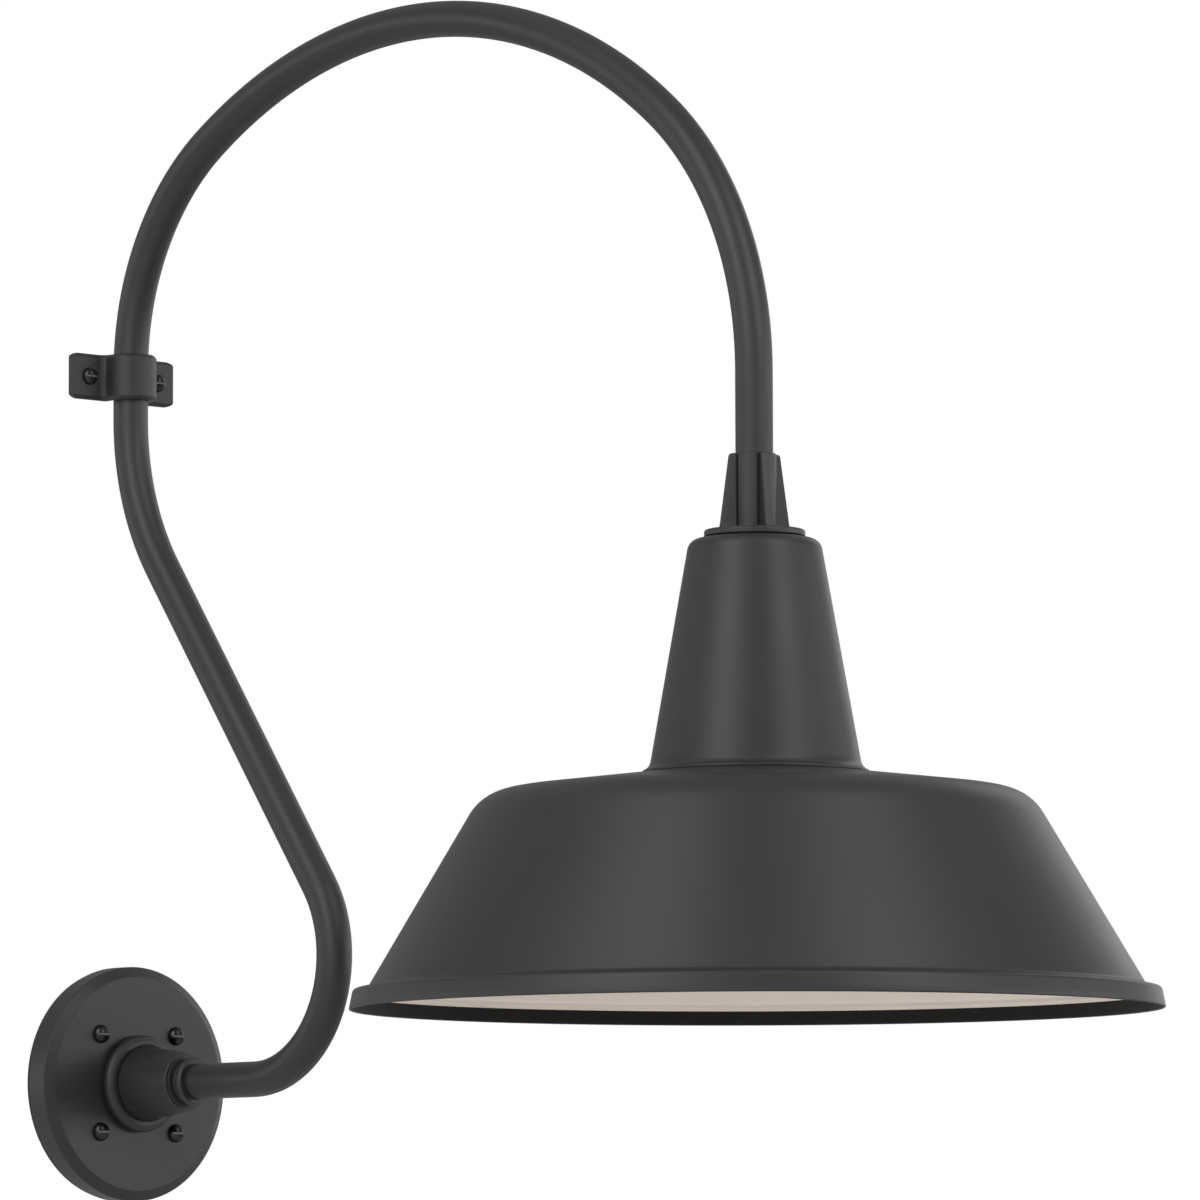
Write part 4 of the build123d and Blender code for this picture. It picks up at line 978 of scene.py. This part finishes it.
class BARN_OT_collar(Operator):
    """Casts the finned collar"""

    bl_idname = "barn.collar"
    bl_label = "Finned collar"

    def execute(self, context):
        """Stack of outlines from the flange's underside over the fins to the top, and down the bore."""
        sizes = context.scene.barn_collar
        low, high = span("finned_collar", "z")
        shelf = low + sizes.flange_height
        tall, root, corner = high - shelf, sizes.root, sizes.fin_corner
        seat, hole, ease, margin = high - sizes.seat, sizes.nipple_hole, 0.2 * MM, 3 * MM
        spoke = unit(fin_section(sizes, tall, 0.0, root))
        flange = rounded_line([
            (hole, low), (sizes.flange, low, 0.4 * MM), (sizes.flange, shelf, sizes.flange_round),
            (sizes.fin_foot + margin, shelf),
        ], spacing=1.2 * MM)
        bore = rounded_line([
            (sizes.bore + ease, high), (sizes.bore, high - FINE), (sizes.bore, seat), (hole, seat),
            (hole, low + ease),
        ], spacing=3 * MM)
        sweep = np.linspace(0.0, pi / 2, 5)
        lifts = np.concatenate([
            np.linspace(root, tall - corner, 14)[1:],
            tall - corner * (1 - np.sin(np.linspace(0.0, radians(80), 7)[1:])),
        ])
        fins = [(0.0, root * (1 - sin(t)), root * (1 - cos(t))) for t in sweep]
        fins += [(lift, 0.0, lift) for lift in lifts if lift < tall - FINE]
        fins += [(tall - FINE, -FINE * (1 - cos(t)), tall - FINE * (1 - sin(t))) for t in sweep]
        rows = [(radius * spoke, height) for radius, height in flange]
        rows += [(fin_section(sizes, tall, rise, grow), shelf + height) for rise, grow, height in fins]
        rows += [(radius * spoke, height) for radius, height in bore]
        rings = np.stack([grid(*plan.T, height) for plan, height in rows]) + (SHADE_X, 0.0, 0.0)
        screw_low, screw_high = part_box("collar_set_screw")
        middle, radius = (screw_low + screw_high) / 2, (screw_high.z - screw_low.z) / 2 + CLEARANCE
        axis = Vector((SHADE_X, 0.0, middle.z))
        way = (middle - axis).normalized()
        inside, outside = 10 * MM, 25 * MM
        drilling = rod(axis + way * inside, axis + way * outside, radius)
        build("collar_casting", [rings], "finned_collar", "arm_paint", "arm", hole=drilling)
        return {"FINISHED"}


def falling(lean):
    """Direction, in radius and height, of a line that falls and leans out by an angle."""
    return np.array([sin(lean), -cos(lean)])


def between(section):
    """Heights half-way from each point of a section to the next."""
    return (section[:, 1] + np.roll(section[:, 1], -1)) / 2


def neck(sizes, top, foot):
    """Profile: flat top, rounded corner, cone, and a flare that turns outwards."""
    bend = tan(sizes.flare_turn / 2)
    reach = sizes.flare * bend - sizes.sheet / 4
    corner = foot + sizes.flare * bend * falling(sizes.neck_lean)
    line = rounded_line([
        (sizes.neck_hole + sizes.sheet / 2, top), (sizes.neck_top, top, sizes.neck_round),
        (*corner, (reach - CLEARANCE) / bend), corner + reach * falling(sizes.neck_lean + sizes.flare_turn),
    ], step=SPUN_STEP)
    section = sheet_section(line, sizes.sheet, seated=True)
    height, past_edge = between(section), np.arange(len(section)) > len(line) + EDGE_STEPS
    inside = past_edge & (height > foot[1]) & (height < top - sizes.sheet / 2)
    rings = turned(about_shade, section, sides=192)
    build("neck_spinning", [rings], "shade_neck", "shade_paint", "shade", "enamel", kinds=inside)


def dome(sizes, foot):
    """Profile: lip inside the neck, flare, dome's top, shoulder, skirt, ledge and band."""
    lean, edge, gap = sizes.neck_lean, sizes.sheet / 2, sizes.sheet + 2 * CLEARANCE
    bow = sizes.flare + gap
    lip = foot - gap * np.array([cos(lean), sin(lean)])
    cut = bow * tan((pi / 2 - sizes.dome_slope - lean) / 2)
    rim_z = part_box("shade_dome")[0].z
    ledge_z = rim_z + sizes.band
    skirt_z = ledge_z + sizes.ledge_fall
    shoulder = sizes.skirt_foot - sizes.skirt_height * tan(sizes.skirt_lean)

    def band(height):
        return sizes.rim - (sizes.rim - sizes.ledge) * height / sizes.band, rim_z + height

    line = rounded_line([
        lip - (sizes.lap - edge) * falling(lean), (*(lip + cut * falling(lean)), bow),
        (shoulder, skirt_z + sizes.skirt_height, sizes.shoulder),
        (sizes.skirt_foot, skirt_z, sizes.ledge_root), (sizes.ledge, ledge_z, sizes.ledge_edge),
        band(sizes.dark_lip), band(edge),
    ], step=SPUN_STEP)
    section = sheet_section(line, sizes.sheet)
    # Inside faces: enamel above the dark lip; the lip below it is black paint with painted shade.
    inside = np.arange(len(section)) > len(line) + EDGE_STEPS - 2
    kinds = np.where(inside, np.where(between(section) > rim_z + sizes.dark_lip, 1, 2), 0)
    rings = turned(about_shade, section, sides=256)
    build("dome_spinning", [rings], "shade_dome", "shade_paint", "shade", "enamel", "lip", kinds=kinds)


class BARN_OT_shade(Operator):
    """Spins the neck and the dome of the shade"""

    bl_idname = "barn.shade"
    bl_label = "Shade"

    def execute(self, context):
        sizes = context.scene.barn_shade
        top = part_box("shade_neck")[1].z
        foot = np.array([sizes.neck_top + sizes.neck_fall * tan(sizes.neck_lean), top - sizes.neck_fall])
        neck(sizes, top, foot)
        dome(sizes, foot)
        return {"FINISHED"}


class BARN_OT_lampholder(Operator):
    """Makes the lampholder's cap and body"""

    bl_idname = "barn.lampholder"
    bl_label = "Lampholder"

    def execute(self, context):
        """Turned profiles: a brass cap with a rolled edge and a glazed body with two grooves."""
        sizes, hole = context.scene.barn_lamp, context.scene.barn_collar.nipple_hole
        low, high = span("lampholder_cap", "z")
        cap_radius, boss_wall, boss_foot = sizes.cap_radius, 2.95 * MM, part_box("nipple")[0].z
        inner, roof, boss = cap_radius - sizes.cap_wall, high - sizes.cap_roof, hole + boss_wall
        cap = rounded_line([
            (hole, high), (cap_radius, high, 2.4 * MM), (cap_radius, low, SOFT), (inner, low, FINE),
            (inner, roof, 1.2 * MM), (boss, roof, 0.6 * MM), (boss, boss_foot, 0.4 * MM), (hole, boss_foot),
            (hole, high),
        ], spacing=2 * MM)
        build("cap_turning", [turned(about_shade, cap[:-1])], "lampholder_cap", "holder_metal", "brass")
        foot, top = span("lampholder_body", "z")
        ceiling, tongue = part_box("screw_shell")[1].z, inner - CLEARANCE
        radius, bore, groove, groove_depth = sizes.body_radius, sizes.body_bore, 1.0 * MM, 0.8 * MM
        rows = [(0.0, top), (tongue, top, SOFT), (tongue, low), (radius, low, 0.8 * MM)]
        for place in (0.3, 0.42):
            middle = low + place * (foot - low)
            rows += [
                (radius, middle + groove, SOFT), (radius - groove_depth, middle, 0.6 * MM),
                (radius, middle - groove, SOFT),
            ]
        rows += [(radius, foot, 2 * MM), (bore, foot, 1.2 * MM), (bore, ceiling, 0.8 * MM), (0.0, ceiling)]
        body = turned(about_shade, rounded_line(rows, spacing=2.5 * MM))
        build("porcelain_body", [body], "lampholder_body", "porcelain", "porcelain", ends="poles")
        coat("brass", "screw_shell", "centre_contact", "contact_rivets")
        coat("black_core", "lamp_leads")
        return {"FINISHED"}


def bulb_envelope(sizes):
    """Profile: tuck inside the cap, hollow neck, and a ball that the neck's line touches."""
    low, high = span("bulb_glass", "z")
    cap_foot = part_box("bulb_cap")[0].z
    tuck = sizes.thread_radius - sizes.thread_depth - sizes.thread_wall - FINE
    step_out, drop = 2.5 * MM, 7 * MM
    waist, centre = np.array([tuck + step_out, cap_foot - drop]), np.array([0.0, low + sizes.ball])
    out, up = waist - centre
    touch = atan2(up, out) - acos(sizes.ball / hypot(out, up))
    ball = arc(centre, sizes.ball, touch, -pi / 2, count=34)
    stem = [(tuck, high), (tuck, cap_foot - FINE, 2.5 * MM), (*waist, 20 * MM), ball[0]]
    outer = np.concatenate([rounded_line(stem, spacing=2 * MM, step=radians(5)), ball[1:]])
    outer[-1, 0] = 0.0
    inner = outer + sizes.glass_wall * along_and_inward(outer)[1]
    inner[-1] = (0.0, low + sizes.glass_wall)
    rings = turned(about_shade, np.concatenate([inner[::-1], outer]))
    build("bulb_envelope", [rings], "bulb_glass", "bulb_glass", "glass", ends="poles")


def bulb_thread(sizes):
    """Thread r = crest - depth * (1 + cos(2 pi p)) / 2, where p = height / pitch - t / (2 pi),
    fading to the plain ends; the inside is a plain sleeve."""
    low, high = span("bulb_cap", "z")
    turn, height = full_turn(sides=96), np.linspace(low, high, 120)[:, None]
    phase = 2 * pi * (height - low) / sizes.thread_pitch - turn
    run_out = 2.5 * MM
    fade = np.clip(np.minimum(height - low, high - height) / run_out, 0.0, 1.0)
    root = sizes.thread_radius - sizes.thread_depth
    radius = root + fade * sizes.thread_depth * (1 - np.cos(phase)) / 2
    sleeve = np.full((2, len(turn)), root - sizes.thread_wall)
    height = np.concatenate([height, [[high], [low]]])
    rings = about_shade(np.concatenate([radius, sleeve]), height, turn)
    build("bulb_thread", [rings], "bulb_cap", "bulb_metal", "nickel")


class BARN_OT_bulb(Operator):
    """Blows the bulb and rolls the thread of its cap"""

    bl_idname = "barn.bulb"
    bl_label = "Bulb"

    def execute(self, context):
        sizes = context.scene.barn_lamp
        bulb_envelope(sizes)
        bulb_thread(sizes)
        coat("dark_glass", "bulb_insulator")
        coat("nickel", "bulb_tip")
        coat("glass", "bulb_stem")
        coat("phosphor", "bulb_filaments")
        return {"FINISHED"}


class BARN_OT_wiring(Operator):
    """Paints the gaskets, fixings, cables and terminals"""

    bl_idname = "barn.wiring"
    bl_label = "Fixings and wiring"

    def execute(self, context):
        coat("rubber", "wall_gasket", "neck_gasket")
        coat("screw", "hub_set_screw", "collar_set_screw")
        coat("zinc", "hub_washer", "hub_locknut", "neck_washer", "nipple_locknut", "nipple")
        coat("zinc", "terminal_screws", "block_screw")
        coat("sheath", "arm_cable", "head_cable")
        coat("black_core", "live_wire")
        coat("white_core", "neutral_wire")
        coat("green_core", "ground_wire")
        coat("brass", "ground_screw", "ground_lug")
        coat("block", "terminal_block")
        return {"FINISHED"}


# Stage

def view_axes(stage):
    """Right, up and forward of the camera before its roll."""
    azimuth, pitch = stage.camera_azimuth, stage.camera_pitch
    forward = Vector((-sin(azimuth) * cos(pitch), cos(azimuth) * cos(pitch), sin(pitch)))
    right = Vector((cos(azimuth), sin(azimuth), 0.0))
    return right, right.cross(forward), forward


def set_camera(scene, stage):
    """The camera at its place, rolled about its line of sight."""
    lens = bpy.data.cameras.new("camera")
    lens.lens, lens.sensor_width, lens.clip_end = stage.camera_lens, 36.0, 50.0
    right, up, forward = view_axes(stage)
    turn = stage.camera_roll
    axes = Matrix((cos(turn) * right + sin(turn) * up, cos(turn) * up - sin(turn) * right, -forward))
    scene.camera = add_object("camera", lens)
    scene.camera.matrix_world = Matrix.Translation(stage.camera_place) @ axes.transposed().to_4x4()


def set_sky(scene, stage):
    """White behind the light for the camera; for everything else soft grey.

    With c the cosine of the compass angle from the camera and h the height of the direction, the grey
    is dimmer where c is near 1 and h is large, where c is near -1, and in a belt on both sides where
    c * c is small and h is about a third. A glow is added where both c * c and h * h are small, and
    another where c is near 1 and h * h is small, left of the camera; right of it a flag takes light away.
    """
    scene.world = bpy.data.worlds.new("studio")
    sky = Paint(scene.world)
    right, _, forward = view_axes(stage)
    way = sky.node("ShaderNodeTexCoord", output="Generated")
    x, y, height = (sky.node("ShaderNodeSeparateXYZ", {}, {0: way}, output=axis) for axis in "XYZ")
    level = (x * x + y * y) ** 0.5 + WELD
    compass = (x * -forward.x + y * -forward.y) / level
    across = (x * right.x + y * right.y) / level
    compass_squared, height_squared = compass * compass, height * height

    def step(value, start, end, low=0.0, high=1.0):
        sockets = {"Value": value, "From Min": start, "From Max": end, "To Min": low, "To Max": high}
        return sky.node("ShaderNodeMapRange", {"interpolation_type": "SMOOTHSTEP"}, sockets)

    ahead = 1 - step(compass, 0.78, 0.98, 0.0, 1 - stage.front_dim) * step(height, 0.1, 0.6, 0.15, 1.0)
    behind = step(compass, -0.95, -0.2, stage.back_dim, 1.0)
    sides = step(across, -0.4, 0.4, stage.left_glow, stage.right_glow)
    glow = sides * step(compass_squared, 0.03, 0.4, 1.0, 0.0) * step(height_squared, 0.005, 0.1, 1.0, 0.0)
    belt = step(height, 0.15, 0.32) * step(height, 0.5, 0.8, 1.0, 0.0)
    dusk = 1 - belt * step(compass_squared, 0.1, 0.5, 1 - stage.side_dim, 0.0)
    low = step(height_squared, 0.01, 0.12, 1.0, 0.0)
    fill = low * step(compass, 0.82, 0.96, 0.0, stage.front_glow) * step(across, 0.0, 0.2, 1.0, 0.0)
    shade = step(across, 0.1, 0.3, 0.0, 1 - stage.flag) * step(compass, 0.6, 0.8)
    flag = 1 - shade * step(height_squared, 0.06, 0.2, 1.0, 0.0)
    strength = ahead * behind * dusk * flag * stage.sky + glow + fill
    soft, white = (
        sky.node("ShaderNodeBackground", {}, {"Color": (1.0, 1.0, 1.0, 1.0), "Strength": power})
        for power in (strength, 1.0)
    )
    seen = sky.node("ShaderNodeLightPath", output="Is Camera Ray")
    both = sky.node("ShaderNodeMixShader", {}, {0: seen, 1: soft, 2: white})
    sky.node("ShaderNodeOutputWorld", {}, {"Surface": both})


def lay_floor(stage):
    """A wide, pale, round floor well below the light."""
    radius, turn = np.array([15.0, 6.0, 2.0, 0.0])[:, None], full_turn(sides=64)
    middle_x = 0.25
    rings = grid(radius * np.cos(turn) + middle_x, radius * np.sin(turn), stage.floor_height)
    mesh = bpy.data.meshes.new("floor")
    mesh.from_pydata(rings.reshape(-1, 3).tolist(), [], grid_faces(*rings.shape[:2], joined=False).tolist())
    mesh.materials.append(studio_floor(tint=(0.98, 0.97, 0.96), right=view_axes(stage)[0]))
    add_object("floor", mesh)


def hang_softboxes(stage):
    """Two tall softboxes beside the camera and a warm one behind the right side.

    Each is given by its angle from the camera, height, reach, width, length, power and tint.
    """
    right, _, forward = view_axes(stage)
    flat = Vector((-forward.x, -forward.y, 0.0)).normalized()
    middle = Vector((SHADE_X, 0.0, 0.15))
    boxes = {
        "left_box": (radians(-42), 1.35, 2.0, 1.0, 2.2, stage.left_box, (1.0, 1.0, 1.0)),
        "right_box": (radians(42), 1.35, 2.0, 1.0, 2.2, stage.right_box, (1.0, 1.0, 1.0)),
        "rim_box": (radians(150), 0.5, 2.2, 0.7, 2.0, stage.rim_box, (1.0, 0.97, 0.95)),
    }
    for name, (side, height, reach, width, tall, power, tint) in boxes.items():
        lamp = bpy.data.lights.new(name, "AREA")
        lamp.shape, lamp.size, lamp.size_y = "RECTANGLE", width, tall
        lamp.energy, lamp.color = power, tint
        place = middle + reach * (cos(side) * flat + sin(side) * right) + Vector((0.0, 0.0, height))
        aim = (middle - place).to_track_quat("-Z", "Y").to_matrix().to_4x4()
        add_object(name, lamp).matrix_world = Matrix.Translation(place) @ aim


class BARN_OT_stage(Operator):
    """Sets the camera, the floor and the light"""

    bl_idname = "barn.stage"
    bl_label = "Stage"

    def execute(self, context):
        scene, stage = context.scene, context.scene.barn_stage
        set_camera(scene, stage)
        set_sky(scene, stage)
        lay_floor(stage)
        hang_softboxes(stage)
        scene.view_settings.view_transform = "Standard"
        return {"FINISHED"}


class BARN_PT_panel(Panel):
    """Lists the light's pieces"""

    bl_idname = "BARN_PT_panel"
    bl_label = "Barn light"
    bl_space_type = "VIEW_3D"
    bl_region_type = "UI"
    bl_category = "Barn light"

    def draw(self, context):
        for step in STEPS:
            self.layout.operator(step.bl_idname)


STEPS = (
    BARN_OT_arm, BARN_OT_plate, BARN_OT_strap, BARN_OT_screws, BARN_OT_collar, BARN_OT_shade,
    BARN_OT_lampholder, BARN_OT_bulb, BARN_OT_wiring, BARN_OT_stage,
)
GROUPS = {
    "barn_arm": ArmSizes, "barn_plate": PlateSizes, "barn_strap": StrapSizes, "barn_screws": ScrewSizes,
    "barn_collar": CollarSizes, "barn_shade": ShadeSizes, "barn_lamp": LampSizes,
    "barn_finishes": Finishes, "barn_stage": StageSettings,
}


def register():
    for name, group in GROUPS.items():
        bpy.utils.register_class(group)
        setattr(bpy.types.Scene, name, PointerProperty(type=group))
    for step in (*STEPS, BARN_PT_panel):
        bpy.utils.register_class(step)


def unregister():
    for step in (BARN_PT_panel, *reversed(STEPS)):
        bpy.utils.unregister_class(step)
    for name, group in GROUPS.items():
        delattr(bpy.types.Scene, name)
        bpy.utils.unregister_class(group)


def main():
    register()
    paints.update(make_paints(bpy.context.scene.barn_finishes))
    for step in STEPS:
        getattr(bpy.ops.barn, step.bl_idname.split(".")[1])()


if __name__ == "__main__":
    main()
